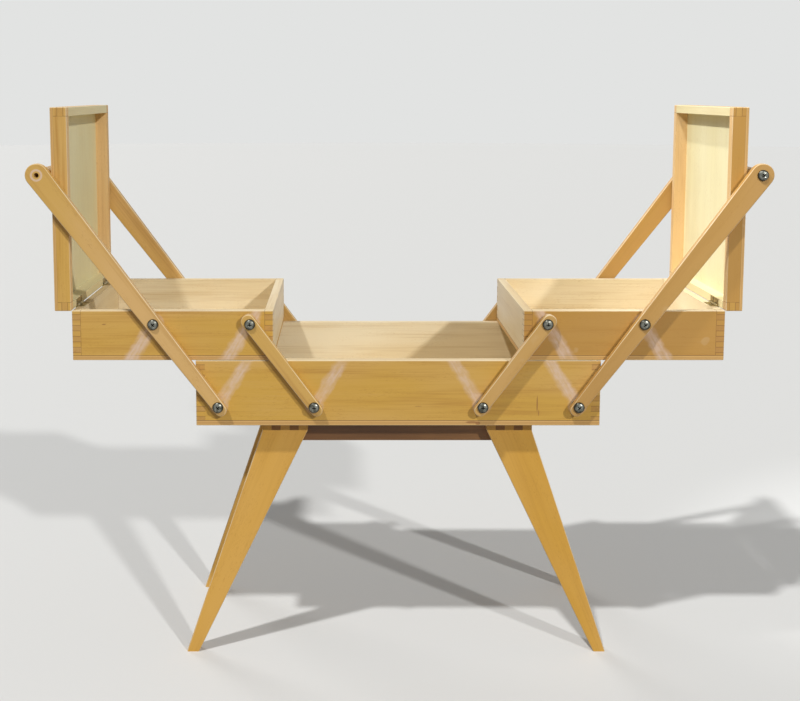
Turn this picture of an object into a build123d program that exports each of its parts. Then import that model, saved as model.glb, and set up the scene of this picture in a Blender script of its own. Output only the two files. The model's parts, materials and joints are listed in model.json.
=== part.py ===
from build123d import *
from dataclasses import dataclass
from math import ceil, cos, radians, sin
import os

# A cantilever sewing box on four splayed legs, modelled open. All sizes are millimetres.
# X runs along the box, -Y is its front and +Z is up. The origin is on the floor, under the
# middle of the box. "side" is -1 on the left and +1 on the right; "end" is -1 at the front
# and +1 at the rear.

# ---- Driving dimensions -----------------------------------------------------------------

# Base box: finger-jointed boards on a flat floor panel
base_length = 420.0
base_depth = 200.0
base_height = 69.0
base_wall = 9.5
base_floor = 5.7
base_finger = 5.5
base_first_finger = 3.9

# Trays: two boxes, each half as long as the base
tray_meeting_gap = 2.4
tray_end_inset = 1.2
tray_height = 52.0
tray_wall = 8.8
tray_floor = 5.2
tray_finger = 5.7
tray_first_finger = 2.9
tray_rest_gap = 0.3

# Lids: shallow frames with a thin panel, hinged on the outer ends of the trays
lid_meeting_gap = 0.8
lid_overhang = 1.0
lid_height = 17.0
lid_wall = 9.0
lid_panel = 3.5
lid_finger = 6.2
lid_first_finger = 4.0
lid_closing_gap = 0.4

box_arris = 0.8

# Stand: tapered legs combed into two cross boards, braced by two long rails
stand_height = 255.0
leg_inset = 67.7
leg_top_width = 47.8
leg_spread = 83.0
foot_width = 12.8
leg_thickness = 12.0
leg_setback = 16.0
cross_board_thickness = 10.0
comb_fingers = 5
rail_height = 25.0
rail_thickness = 10.0
rail_lap = 28.0
stand_arris = 1.0

# Arms: a parallel pair on each side, at the front and at the rear
open_angle = 37.0
closed_angle = 35.0
pivot_spacing = 99.2
base_pivot_height = 21.7
tray_pivot_height = 39.4
arm_thickness = 7.0
arm_running_gap = 0.25
arm_arris = 1.0
long_arm_extension = 191.7
long_arm_toe_radius = 6.2
long_arm_toe_overhang = 4.3
long_arm_head_radius = 11.8
short_arm_toe_radius = 6.0
short_arm_toe_overhang = 4.5
short_arm_head_radius = 7.2
short_arm_head_overhang = 3.3

# Handle bars between the heads of the long arms, just outside the open lids
handle_radius = 6.0
handle_lid_gap = 6.8

# Dome-head pivot screws and their washers
shank_radius = 2.5
pivot_fit = 0.05
loop_clearance = 0.3
thread_depth = 7.5
handle_thread_depth = 22.0
drill_tip_gap = 0.5
tip_chamfer = 0.8
head_radius = 5.6
head_rim = 0.7
head_height = 3.4
slot_length = 5.6
slot_width = 1.1
slot_depth = 1.5
base_screw_turn = 37.0
tray_screw_turn = 53.0
washer_radius = 6.0
washer_thickness = 1.5

# Countersunk wood screws that hold the stand and the hinges
stand_screw_radius = 2.0
stand_screw_head_radius = 4.0
stand_screw_head_depth = 2.2
stand_screw_length = 14.0
stand_screw_inset = 7.0
stand_screw_count = 3
hinge_screw_radius = 1.0
hinge_screw_head_radius = 1.9
hinge_screw_head_depth = 0.9
hinge_screw_length = 7.0
wood_screw_fit = 0.02

# Butt hinges of the lids
hinge_length = 25.0
hinge_inset = 36.0
hinge_offset = 0.4
leaf_width = 7.0
leaf_thickness = 1.0
leaf_fit = 0.1
knuckle_radius = 2.0
knuckle_clearance = 0.3
knuckle_side_gap = 0.15
centre_knuckle_length = 9.0
pin_radius = 0.8
pin_fit = 0.05
hinge_screw_spacing = 15.0

# ---- Sizes worked out from the driving ones ------------------------------------------------

front, rear = -1, 1
left, right = -1, 1
side_names = {left: "left", right: "right"}
end_names = {front: "front", rear: "rear"}

closed_tray_end = base_length / 2 - tray_end_inset
tray_length = closed_tray_end - tray_meeting_gap / 2
lid_length = closed_tray_end - lid_meeting_gap / 2 + lid_overhang

base_rim = stand_height + base_height
tray_bottom = base_rim + tray_rest_gap
tray_rim = tray_bottom + tray_height

base_pivot_z = stand_height + base_pivot_height
tray_pivot_z = tray_bottom + tray_pivot_height
arm_span = (tray_pivot_z - base_pivot_z) / cos(radians(open_angle))
arm_swing_out = arm_span * sin(radians(open_angle))
arm_swing_in = arm_span * sin(radians(closed_angle))

tray_outer_x = closed_tray_end + arm_swing_in + arm_swing_out

box_face = base_depth / 2
arm_inner_face = box_face + washer_thickness + arm_running_gap
arm_outer_face = arm_inner_face + arm_thickness
head_seat = arm_outer_face + arm_running_gap

hinge_axis_x = tray_outer_x + hinge_offset
hinge_axis_z = tray_rim + lid_closing_gap / 2
lid_inner_x = hinge_axis_x + lid_closing_gap / 2
lid_outer_x = lid_inner_x + lid_height
lid_bottom_z = hinge_axis_z + hinge_offset - lid_overhang

long_arm_reach = arm_span + long_arm_extension
handle_x = lid_outer_x + handle_lid_gap + handle_radius
handle_z = base_pivot_z + long_arm_reach * cos(radians(open_angle))
base_long_pivot_x = handle_x - long_arm_reach * sin(radians(open_angle))
base_short_pivot_x = base_long_pivot_x - pivot_spacing
tray_long_pivot_x = base_long_pivot_x + arm_swing_out
tray_short_pivot_x = base_short_pivot_x + arm_swing_out

leg_outer_x = base_length / 2 - leg_inset
leg_inner_x = leg_outer_x - leg_top_width
foot_outer_x = leg_outer_x + leg_spread
leg_face = base_depth / 2 - leg_setback
comb_z = stand_height - cross_board_thickness
comb_pitch = leg_top_width / comb_fingers


# ---- Planes ----------------------------------------------------------------------------------

def outline_plane(y):
    """Upright plane at depth y, on which an outline is drawn as (x, height)."""
    return Plane(origin=(0, y, 0), x_dir=(1, 0, 0), z_dir=(0, -1, 0))


def outward_plane(x, face, z, end, turn=0.0):
    """Plane on a front or rear face at (x, z), looking outwards and turned about its own axis."""
    across = (cos(radians(turn)), 0, sin(radians(turn)))
    return Plane(origin=(x, end * face, z), x_dir=across, z_dir=(0, end, 0))


def arm_plane(x, z, side, end):
    """Plane on the inner face of an arm, at its base pivot, with x along the arm."""
    along = (side * sin(radians(open_angle)), 0, cos(radians(open_angle)))
    return Plane(origin=(side * x, end * arm_inner_face, z), x_dir=along, z_dir=(0, end, 0))


def hinge_planes(side, leaf):
    """Planes on the hinge axis, with x along a leaf and z into the wood that holds it."""
    reach = base_depth / 2 - hinge_inset
    if leaf == "tray":
        x_dir, z_dir = (-side, 0, 0), (0, 0, -1)
    else:
        x_dir, z_dir = (0, 0, 1), (side, 0, 0)
    origins = [(side * hinge_axis_x, y, hinge_axis_z) for y in (-reach, reach)]
    return [Plane(origin=origin, x_dir=x_dir, z_dir=z_dir) for origin in origins]


def save(piece, label):
    """Name a finished piece and write it to its own file."""
    piece.label = label
    export_step(piece, f"parts/{label}.step")


# ---- Finger-jointed boxes ----------------------------------------------------------------------

@dataclass
class FingerBox:
    """Four boards on a floor panel; z = 0 is the outer face of the panel."""

    frame: Plane
    length: float
    depth: float
    height: float
    wall: float
    floor: float
    finger: float
    first_finger: float
    ends_first: bool

    def bands(self, of_ends):
        """Centre heights and sizes of the fingers that belong to the end or the long boards."""
        board_height = self.height - self.floor
        count = 1 + ceil((board_height - self.first_finger) / self.finger)
        cuts = [0.0] + [self.first_finger + self.finger * n for n in range(count - 1)]
        cuts.append(board_height)
        bands = []
        for number, (low, high) in enumerate(zip(cuts, cuts[1:])):
            if (number % 2 == 0) == (self.ends_first == of_ends):
                bands.append((self.floor + (low + high) / 2, high - low))
        return bands


def rounded_block(box):
    """The whole outside of a box with its outer edges eased."""
    with BuildPart() as block:
        with Locations((0, 0, box.height / 2)):
            Box(box.length, box.depth, box.height)
        fillet(block.edges(), box_arris)
    return block.part


def long_board(box, end):
    """Front or rear board, cut away where the fingers of the end boards pass through it."""
    y = end * (box.depth - box.wall) / 2
    board_height = box.height - box.floor
    corner_x = (box.length - box.wall) / 2
    with BuildPart(box.frame) as board:
        with Locations((0, y, box.floor + board_height / 2)):
            Box(box.length, box.wall, board_height)
        for z, size in box.bands(of_ends=True):
            with Locations((-corner_x, y, z), (corner_x, y, z)):
                Box(box.wall, box.wall, size, mode=Mode.SUBTRACT)
        add(rounded_block(box), mode=Mode.INTERSECT)
    return board.part


def end_board(box, x_sign):
    """End board at -x or +x of the box, cut away for the fingers of the long boards."""
    x = x_sign * (box.length - box.wall) / 2
    board_height = box.height - box.floor
    corner_y = (box.depth - box.wall) / 2
    with BuildPart(box.frame) as board:
        with Locations((x, 0, box.floor + board_height / 2)):
            Box(box.wall, box.depth, board_height)
        for z, size in box.bands(of_ends=False):
            with Locations((x, -corner_y, z), (x, corner_y, z)):
                Box(box.wall, box.wall, size, mode=Mode.SUBTRACT)
        add(rounded_block(box), mode=Mode.INTERSECT)
    return board.part


def floor_panel(box):
    """Flat panel glued under the four boards, flush with them all round."""
    with BuildPart(box.frame) as panel:
        with Locations((0, 0, box.floor / 2)):
            Box(box.length, box.depth, box.floor)
        add(rounded_block(box), mode=Mode.INTERSECT)
    return panel.part


def drilled(board, planes, radius, depth):
    """A board with blind holes drilled inwards from the given planes."""
    with BuildPart() as result:
        add(board)
        with Locations(*[plane.offset(-depth / 2) for plane in planes]):
            Cylinder(radius, depth, mode=Mode.SUBTRACT)
    return result.part


# ---- Screws and washers --------------------------------------------------------------------------

def dome_screw(shank_length):
    """Dome-head screw with a cross slot; the head sits on z = 0 and the shank points down."""
    with BuildPart() as screw:
        with BuildSketch(Plane.XZ):
            with BuildLine():
                Polyline(
                    (0, head_height),
                    (0, -shank_length),
                    (shank_radius - tip_chamfer, -shank_length),
                    (shank_radius, -shank_length + tip_chamfer),
                    (shank_radius, 0),
                    (head_radius, 0),
                    (head_radius, head_rim),
                )
                EllipticalCenterArc(
                    center=(0, head_rim),
                    x_radius=head_radius,
                    y_radius=head_height - head_rim,
                    start_angle=0,
                    arc_size=90,
                )
            make_face()
        revolve(axis=Axis.Z)
        with Locations((0, 0, head_height)):
            Box(slot_length, slot_width, 2 * slot_depth, mode=Mode.SUBTRACT)
            Box(slot_width, slot_length, 2 * slot_depth, mode=Mode.SUBTRACT)
    return screw.part


def countersunk_screw(radius, cone_radius, cone_depth, length):
    """Flat-head wood screw; the head is flush with z = 0 and the shank points down."""
    with BuildPart() as screw:
        with BuildSketch(Plane.XZ):
            with BuildLine():
                Polyline(
                    (0, 0),
                    (0, -length),
                    (radius, -length + radius),
                    (radius, -cone_depth),
                    (cone_radius, 0),
                    close=True,
                )
            make_face()
        revolve(axis=Axis.Z)
        driver_length, driver_width = cone_radius, cone_depth / 2
        Box(driver_length, driver_width, cone_depth, mode=Mode.SUBTRACT)
    return screw.part


def countersunk_hole(radius, cone_radius, cone_depth, length):
    """The space that a countersunk screw needs, with its fit all round."""
    with BuildPart() as hole:
        with BuildSketch(Plane.XZ):
            with BuildLine():
                Polyline(
                    (0, 0),
                    (0, -length - wood_screw_fit),
                    (radius + wood_screw_fit, -length - wood_screw_fit),
                    (radius + wood_screw_fit, -cone_depth),
                    (cone_radius + wood_screw_fit, 0),
                    close=True,
                )
            make_face()
        revolve(axis=Axis.Z)
    return hole.part


def placed_copies(piece, planes):
    """Copies of a small piece on the given planes, as one group of solids."""
    with BuildPart() as group:
        with Locations(*planes):
            add(piece)
    return group.part


def washers(planes):
    """Flat washers lying on the given planes."""
    with BuildPart() as group:
        with Locations(*[plane.offset(washer_thickness / 2) for plane in planes]):
            Cylinder(washer_radius, washer_thickness)
            Cylinder(shank_radius + pivot_fit, washer_thickness, mode=Mode.SUBTRACT)
    return group.part


def pivot_planes(points, z, face, turn_step=0.0):
    """Outward planes at each x in points, at the front and then at the rear."""
    places = [(x, end) for end in (front, rear) for x in points]
    return [outward_plane(x, face, z, end, turn_step * n) for n, (x, end) in enumerate(places)]


# ---- Base box and stand ----------------------------------------------------------------------------

base_box = FingerBox(
    frame=Plane.XY.offset(stand_height),
    length=base_length,
    depth=base_depth,
    height=base_height,
    wall=base_wall,
    floor=base_floor,
    finger=base_finger,
    first_finger=base_first_finger,
    ends_first=True,
)
pivot_hole_radius = shank_radius + pivot_fit
pivot_hole_depth = thread_depth + drill_tip_gap
pivot_shank_length = head_seat - box_face + thread_depth
base_pivot_xs = [-base_long_pivot_x, -base_short_pivot_x, base_short_pivot_x, base_long_pivot_x]
stand_screw = (
    stand_screw_radius,
    stand_screw_head_radius,
    stand_screw_head_depth,
    stand_screw_length,
)


def stand_screw_planes():
    """Planes under the two cross boards, where the screws go up into the base."""
    middle_x = (leg_inner_x + leg_outer_x) / 2
    last_y = leg_face - leg_thickness - rail_thickness - stand_screw_inset
    pitch = 2 * last_y / (stand_screw_count - 1)
    planes = []
    for side in (left, right):
        for n in range(stand_screw_count):
            origin = (side * middle_x, n * pitch - last_y, comb_z)
            planes.append(Plane(origin=origin, x_dir=(1, 0, 0), z_dir=(0, 0, -1)))
    return planes


def without_stand_screws(piece):
    """A piece with the stand's screw holes taken out of it."""
    with BuildPart() as result:
        add(piece)
        with Locations(*stand_screw_planes()):
            add(countersunk_hole(*stand_screw), mode=Mode.SUBTRACT)
    return result.part


def leg(side, end):
    """Flat tapered leg that leans outwards along the box, with comb fingers at its top."""
    y = -leg_face if end == front else leg_face - leg_thickness
    with BuildPart() as board:
        with BuildSketch(outline_plane(y)):
            with BuildLine():
                Polyline(
                    (side * leg_inner_x, stand_height),
                    (side * leg_outer_x, stand_height),
                    (side * leg_outer_x, comb_z),
                    (side * foot_outer_x, 0),
                    (side * (foot_outer_x - foot_width), 0),
                    (side * leg_inner_x, comb_z),
                    close=True,
                )
            make_face()
        extrude(amount=-leg_thickness)
        long_edges = board.edges().filter_by(lambda edge: 0 < edge.center().Z < comb_z - stand_arris)
        fillet(long_edges, stand_arris)
        for n in range(1, comb_fingers, 2):
            finger_x = side * (leg_inner_x + (n + 0.5) * comb_pitch)
            with Locations((finger_x, y + leg_thickness / 2, stand_height)):
                Box(comb_pitch, leg_thickness, 2 * cross_board_thickness, mode=Mode.SUBTRACT)
    return board.part


def cross_board(side):
    """Flat board from the front leg to the rear leg, between which its fingers are combed."""
    middle_x = side * (leg_inner_x + leg_outer_x) / 2
    with BuildPart() as board:
        with Locations((middle_x, 0, stand_height - cross_board_thickness / 2)):
            Box(leg_top_width, 2 * leg_face, cross_board_thickness)
        for n in range(0, comb_fingers, 2):
            finger_x = side * (leg_inner_x + (n + 0.5) * comb_pitch)
            finger_y = leg_face - leg_thickness / 2
            with Locations((finger_x, -finger_y, stand_height), (finger_x, finger_y, stand_height)):
                Box(comb_pitch, leg_thickness, 2 * cross_board_thickness, mode=Mode.SUBTRACT)
    return board.part


def long_rail(end):
    """Rail behind the legs, notched over the cross boards."""
    inner_face = leg_face - leg_thickness
    y = -inner_face if end == front else inner_face - rail_thickness
    low_z = stand_height - rail_height
    lap_x = leg_inner_x + rail_lap
    with BuildPart() as rail:
        with BuildSketch(outline_plane(y)):
            with BuildLine():
                Polyline(
                    (-leg_inner_x, stand_height),
                    (leg_inner_x, stand_height),
                    (leg_inner_x, comb_z),
                    (lap_x, comb_z),
                    (lap_x, low_z),
                    (-lap_x, low_z),
                    (-lap_x, comb_z),
                    (-leg_inner_x, comb_z),
                    close=True,
                )
            make_face()
        extrude(amount=-rail_thickness)
        fillet(rail.edges().filter_by(Axis.X).group_by(Axis.Z)[0], stand_arris)
    return rail.part


# ---- Arms and handle bars ------------------------------------------------------------------------------

def arm(plane, toe_overhang, toe_radius, head_x, head_end_radius, holes):
    """Tapered bar with round ends, drilled at each (distance along the arm, radius)."""
    with BuildPart() as bar:
        with BuildSketch(plane):
            with Locations((-toe_overhang, 0)):
                Circle(toe_radius)
            with Locations((head_x, 0)):
                Circle(head_end_radius)
            make_hull()
        extrude(amount=arm_thickness)
        fillet(bar.edges().filter_by(Axis.Y, reverse=True), arm_arris)
        for along, hole_radius in holes:
            with BuildSketch(plane):
                with Locations((along, 0)):
                    Circle(hole_radius)
            extrude(amount=arm_thickness, mode=Mode.SUBTRACT)
    return bar.part


def long_arm(side, end):
    """Arm from the base past the tray, up to the handle bar."""
    return arm(
        arm_plane(base_long_pivot_x, base_pivot_z, side, end),
        long_arm_toe_overhang,
        long_arm_toe_radius,
        long_arm_reach,
        long_arm_head_radius,
        [(0, pivot_hole_radius), (arm_span, pivot_hole_radius), (long_arm_reach, pivot_hole_radius)],
    )


def short_arm(side, end):
    """Arm from the base to the tray; its tray hole runs loose, because the long arm leads."""
    return arm(
        arm_plane(base_short_pivot_x, base_pivot_z, side, end),
        short_arm_toe_overhang,
        short_arm_toe_radius,
        arm_span + short_arm_head_overhang,
        short_arm_head_radius,
        [(0, pivot_hole_radius), (arm_span, shank_radius + loop_clearance)],
    )


def handle_bar(side):
    """Round bar between the heads of the two long arms, drilled for its end screws."""
    with BuildPart(Plane(origin=(side * handle_x, 0, handle_z), z_dir=(0, 1, 0))) as bar:
        Cylinder(handle_radius, 2 * arm_inner_face)
    planes = pivot_planes([side * handle_x], handle_z, arm_inner_face)
    return drilled(bar.part, planes, pivot_hole_radius, handle_thread_depth + drill_tip_gap)


# ---- Hinges ----------------------------------------------------------------------------------------------

gap_to_leaf = lid_closing_gap / 2
leaf_end_x = hinge_offset + leaf_width
leaf_start_x = knuckle_radius + knuckle_clearance
outer_knuckle_length = (hinge_length - centre_knuckle_length) / 2 - knuckle_side_gap
outer_knuckle_y = (hinge_length - outer_knuckle_length) / 2
leaf_screw_x = (leaf_start_x + leaf_end_x) / 2
hinge_screw = (
    hinge_screw_radius,
    hinge_screw_head_radius,
    hinge_screw_head_depth,
    hinge_screw_length,
)


def hinge_leaf(knuckles):
    """Leaf in its own frame: x along the leaf, y along the pin, z into the wood."""
    plate_length = leaf_end_x - leaf_start_x
    with BuildPart() as leaf:
        with Locations(((leaf_start_x + leaf_end_x) / 2, 0, gap_to_leaf + leaf_thickness / 2)):
            Box(plate_length, hinge_length, leaf_thickness)
        for y, length in knuckles:
            with Locations((leaf_start_x / 2, y, gap_to_leaf + leaf_thickness / 2)):
                Box(leaf_start_x, length, leaf_thickness)
            with Locations(Location((0, y, 0), (90, 0, 0))):
                Cylinder(knuckle_radius, length)
        with Locations(Location((0, 0, 0), (90, 0, 0))):
            Cylinder(pin_radius + pin_fit, hinge_length, mode=Mode.SUBTRACT)
        screw_hole = countersunk_hole(*hinge_screw)
        for y in (-hinge_screw_spacing / 2, hinge_screw_spacing / 2):
            with Locations(Location((leaf_screw_x, y, gap_to_leaf), (180, 0, 0))):
                add(screw_hole, mode=Mode.SUBTRACT)
    return leaf.part


def tray_leaf():
    """Leaf with the two outer knuckles, and the pin that is pressed through them."""
    knuckles = [(y, outer_knuckle_length) for y in (-outer_knuckle_y, outer_knuckle_y)]
    with BuildPart() as leaf:
        add(hinge_leaf(knuckles))
        for y, length in knuckles:
            with Locations(Location((0, y, 0), (90, 0, 0))):
                Cylinder(pin_radius + pin_fit, length)
        with Locations(Location((0, 0, 0), (90, 0, 0))):
            Cylinder(pin_radius, hinge_length)
    return leaf.part


def lid_leaf():
    """Leaf with the middle knuckle, which turns on the pin."""
    return hinge_leaf([(0, centre_knuckle_length)])


def hinge_screw_planes(side, leaf):
    """Planes of the screw heads in both leaves, looking out of the wood."""
    planes = []
    for plane in hinge_planes(side, leaf):
        for y in (-hinge_screw_spacing / 2, hinge_screw_spacing / 2):
            origin = plane.from_local_coords((leaf_screw_x, y, gap_to_leaf))
            planes.append(Plane(origin=origin, x_dir=plane.x_dir, z_dir=-plane.z_dir))
    return planes


def let_in_hinges(board, side, leaf):
    """A board with its leaf recesses, knuckle notches and screw holes cut."""
    recess_length = leaf_end_x + leaf_fit
    screw_hole = countersunk_hole(*hinge_screw)
    with BuildPart() as recess:
        with Locations((recess_length / 2, 0, (gap_to_leaf + leaf_thickness) / 2)):
            Box(recess_length, hinge_length + 2 * leaf_fit, gap_to_leaf + leaf_thickness)
        with Locations(Location((0, 0, 0), (90, 0, 0))):
            Cylinder(knuckle_radius + knuckle_clearance, hinge_length + 2 * leaf_fit)
    with BuildPart() as result:
        add(board)
        with Locations(*hinge_planes(side, leaf)):
            add(recess.part, mode=Mode.SUBTRACT)
        with Locations(*hinge_screw_planes(side, leaf)):
            add(screw_hole, mode=Mode.SUBTRACT)
    return result.part


# ---- Making the pieces ----------------------------------------------------------------------------

def make_base():
    """Boards and floor of the base, with its pivot screws and washers."""
    for end in (front, rear):
        planes = [outward_plane(x, box_face, base_pivot_z, end) for x in base_pivot_xs]
        board = drilled(long_board(base_box, end), planes, pivot_hole_radius, pivot_hole_depth)
        save(board, f"base_{end_names[end]}_board")
    for side in (left, right):
        save(end_board(base_box, side), f"base_{side_names[side]}_end")
    save(without_stand_screws(floor_panel(base_box)), "base_floor")
    heads = pivot_planes(base_pivot_xs, base_pivot_z, head_seat, turn_step=base_screw_turn)
    save(placed_copies(dome_screw(pivot_shank_length), heads), "base_pivot_screws")
    save(washers(pivot_planes(base_pivot_xs, base_pivot_z, box_face)), "base_pivot_washers")


def make_stand():
    """Legs, cross boards and rails, with the screws that hold them to the base."""
    for side in (left, right):
        for end in (front, rear):
            save(leg(side, end), f"{end_names[end]}_{side_names[side]}_leg")
        save(without_stand_screws(cross_board(side)), f"{side_names[side]}_cross_board")
    for end in (front, rear):
        save(long_rail(end), f"{end_names[end]}_rail")
    save(placed_copies(countersunk_screw(*stand_screw), stand_screw_planes()), "stand_screws")


def make_tray(side):
    """One tray with its pivot screws and washers."""
    name = side_names[side]
    middle_x = side * (tray_outer_x - tray_length / 2)
    box = FingerBox(
        frame=Plane(origin=(middle_x, 0, tray_bottom)),
        length=tray_length,
        depth=base_depth,
        height=tray_height,
        wall=tray_wall,
        floor=tray_floor,
        finger=tray_finger,
        first_finger=tray_first_finger,
        ends_first=False,
    )
    pivot_xs = [side * tray_long_pivot_x, side * tray_short_pivot_x]
    for end in (front, rear):
        planes = [outward_plane(x, box_face, tray_pivot_z, end) for x in pivot_xs]
        board = drilled(long_board(box, end), planes, pivot_hole_radius, pivot_hole_depth)
        save(board, f"{name}_tray_{end_names[end]}_board")
    save(let_in_hinges(end_board(box, side), side, "tray"), f"{name}_tray_outer_end")
    save(end_board(box, -side), f"{name}_tray_inner_end")
    save(floor_panel(box), f"{name}_tray_floor")
    heads = pivot_planes(pivot_xs, tray_pivot_z, head_seat, turn_step=tray_screw_turn)
    save(placed_copies(dome_screw(pivot_shank_length), heads), f"{name}_tray_pivot_screws")
    save(washers(pivot_planes(pivot_xs, tray_pivot_z, box_face)), f"{name}_tray_pivot_washers")


def make_lid(side):
    """One lid, standing open on the outer end of its tray."""
    name = side_names[side]
    middle_z = lid_bottom_z + lid_length / 2
    box = FingerBox(
        frame=Plane(origin=(side * lid_outer_x, 0, middle_z), x_dir=(0, 0, side), z_dir=(-side, 0, 0)),
        length=lid_length,
        depth=base_depth,
        height=lid_height,
        wall=lid_wall,
        floor=lid_panel,
        finger=lid_finger,
        first_finger=lid_first_finger,
        ends_first=False,
    )
    for end in (front, rear):
        save(long_board(box, end), f"{name}_lid_{end_names[end]}_board")
    save(let_in_hinges(end_board(box, -side), side, "lid"), f"{name}_lid_hinge_end")
    save(end_board(box, side), f"{name}_lid_free_end")
    save(floor_panel(box), f"{name}_lid_panel")


def make_arms(side):
    """The four arms of one side, its handle bar and the screws of the bar."""
    name = side_names[side]
    for end in (front, rear):
        save(long_arm(side, end), f"{name}_{end_names[end]}_long_arm")
        save(short_arm(side, end), f"{name}_{end_names[end]}_short_arm")
    save(handle_bar(side), f"{name}_handle_bar")
    ends = [rear] if side == left else [front, rear]
    planes = [outward_plane(side * handle_x, arm_outer_face, handle_z, end) for end in ends]
    screw = dome_screw(arm_thickness + handle_thread_depth)
    save(placed_copies(screw, planes), f"{name}_handle_screws")


def make_hinges(side):
    """The two butt hinges of one lid and their screws."""
    name = side_names[side]
    leaves = {"tray": tray_leaf(), "lid": lid_leaf()}
    for leaf, shape in leaves.items():
        save(placed_copies(shape, hinge_planes(side, leaf)), f"{name}_hinge_{leaf}_leaves")
        screws = placed_copies(countersunk_screw(*hinge_screw), hinge_screw_planes(side, leaf))
        save(screws, f"{name}_hinge_{leaf}_screws")


os.makedirs("parts", exist_ok=True)
make_base()
make_stand()
for side in (left, right):
    make_tray(side)
    make_lid(side)
    make_arms(side)
    make_hinges(side)
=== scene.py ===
import json
import math

import bmesh
import bpy
from mathutils import Matrix, Vector


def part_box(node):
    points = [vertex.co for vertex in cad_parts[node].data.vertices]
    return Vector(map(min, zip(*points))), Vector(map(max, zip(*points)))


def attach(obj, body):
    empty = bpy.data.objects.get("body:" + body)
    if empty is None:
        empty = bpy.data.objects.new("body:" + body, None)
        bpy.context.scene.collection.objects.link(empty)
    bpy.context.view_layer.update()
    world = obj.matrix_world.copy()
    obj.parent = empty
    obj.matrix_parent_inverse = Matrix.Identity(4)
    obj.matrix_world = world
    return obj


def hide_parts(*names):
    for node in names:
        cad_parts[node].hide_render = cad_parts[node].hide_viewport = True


bl_info = {
    "name": "Cantilever Sewing Box",
    "version": (1, 0, 0),
    "blender": (4, 5, 0),
    "location": "View3D > Sidebar > Sewing Box",
    "description": "Finishes the beech, the screws and the hinges of a cantilever sewing box",
    "category": "Object",
}

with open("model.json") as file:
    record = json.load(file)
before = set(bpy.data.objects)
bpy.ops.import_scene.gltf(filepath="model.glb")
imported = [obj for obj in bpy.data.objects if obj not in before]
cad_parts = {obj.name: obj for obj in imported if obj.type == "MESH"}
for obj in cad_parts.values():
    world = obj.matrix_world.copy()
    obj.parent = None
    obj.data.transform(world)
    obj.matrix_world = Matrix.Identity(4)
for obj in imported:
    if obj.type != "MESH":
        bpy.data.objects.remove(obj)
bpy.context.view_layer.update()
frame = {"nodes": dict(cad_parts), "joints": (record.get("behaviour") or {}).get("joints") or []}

SIDES = {"left": -1, "right": 1}
ENDS = {"front": -1, "rear": 1}
MM = 0.001


def linear(red, green, blue):
    """Linear colour of a display colour given in steps of 0 to 255"""
    parts = [c / 255 for c in (red, green, blue)]
    return tuple(c / 12.92 if c < 0.04045 else ((c + 0.055) / 1.055) ** 2.4 for c in parts)


def new_object(name, data):
    """A new object in the scene"""
    made = bpy.data.objects.new(name, data)
    bpy.context.scene.collection.objects.link(made)
    return made


def joint_place(name):
    """Place of a joint at rest, in metres"""
    return Vector(next(j["pos_m"] for j in frame["joints"] if j["name"] == name))


# ---- Sizes read from the frame --------------------------------------------------------------

base_low, base_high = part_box("base_floor")
box_face = base_high.y
arm_face = -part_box("right_front_long_arm")[0].y
washer_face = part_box("base_pivot_washers")[1].y
running_gap = -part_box("right_front_long_arm")[1].y - washer_face
head_seat = arm_face + running_gap
bar_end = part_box("right_handle_bar")[1].y


# ---- Settings -------------------------------------------------------------------------------

def colour(name, description, *display):
    """A colour setting whose default is given as a display colour"""
    return bpy.props.FloatVectorProperty(
        name=name, description=description, subtype="COLOR", size=3, min=0, max=1,
        default=linear(*display),
    )


def amount(name, description, default):
    """A plain factor"""
    return bpy.props.FloatProperty(name=name, description=description, default=default, min=0)


def length(name, description, millimetres):
    """A length setting, given in millimetres and kept in metres"""
    return bpy.props.FloatProperty(
        name=name, description=description, default=millimetres * MM, min=0,
        unit="LENGTH", subtype="DISTANCE", precision=5,
    )


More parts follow.
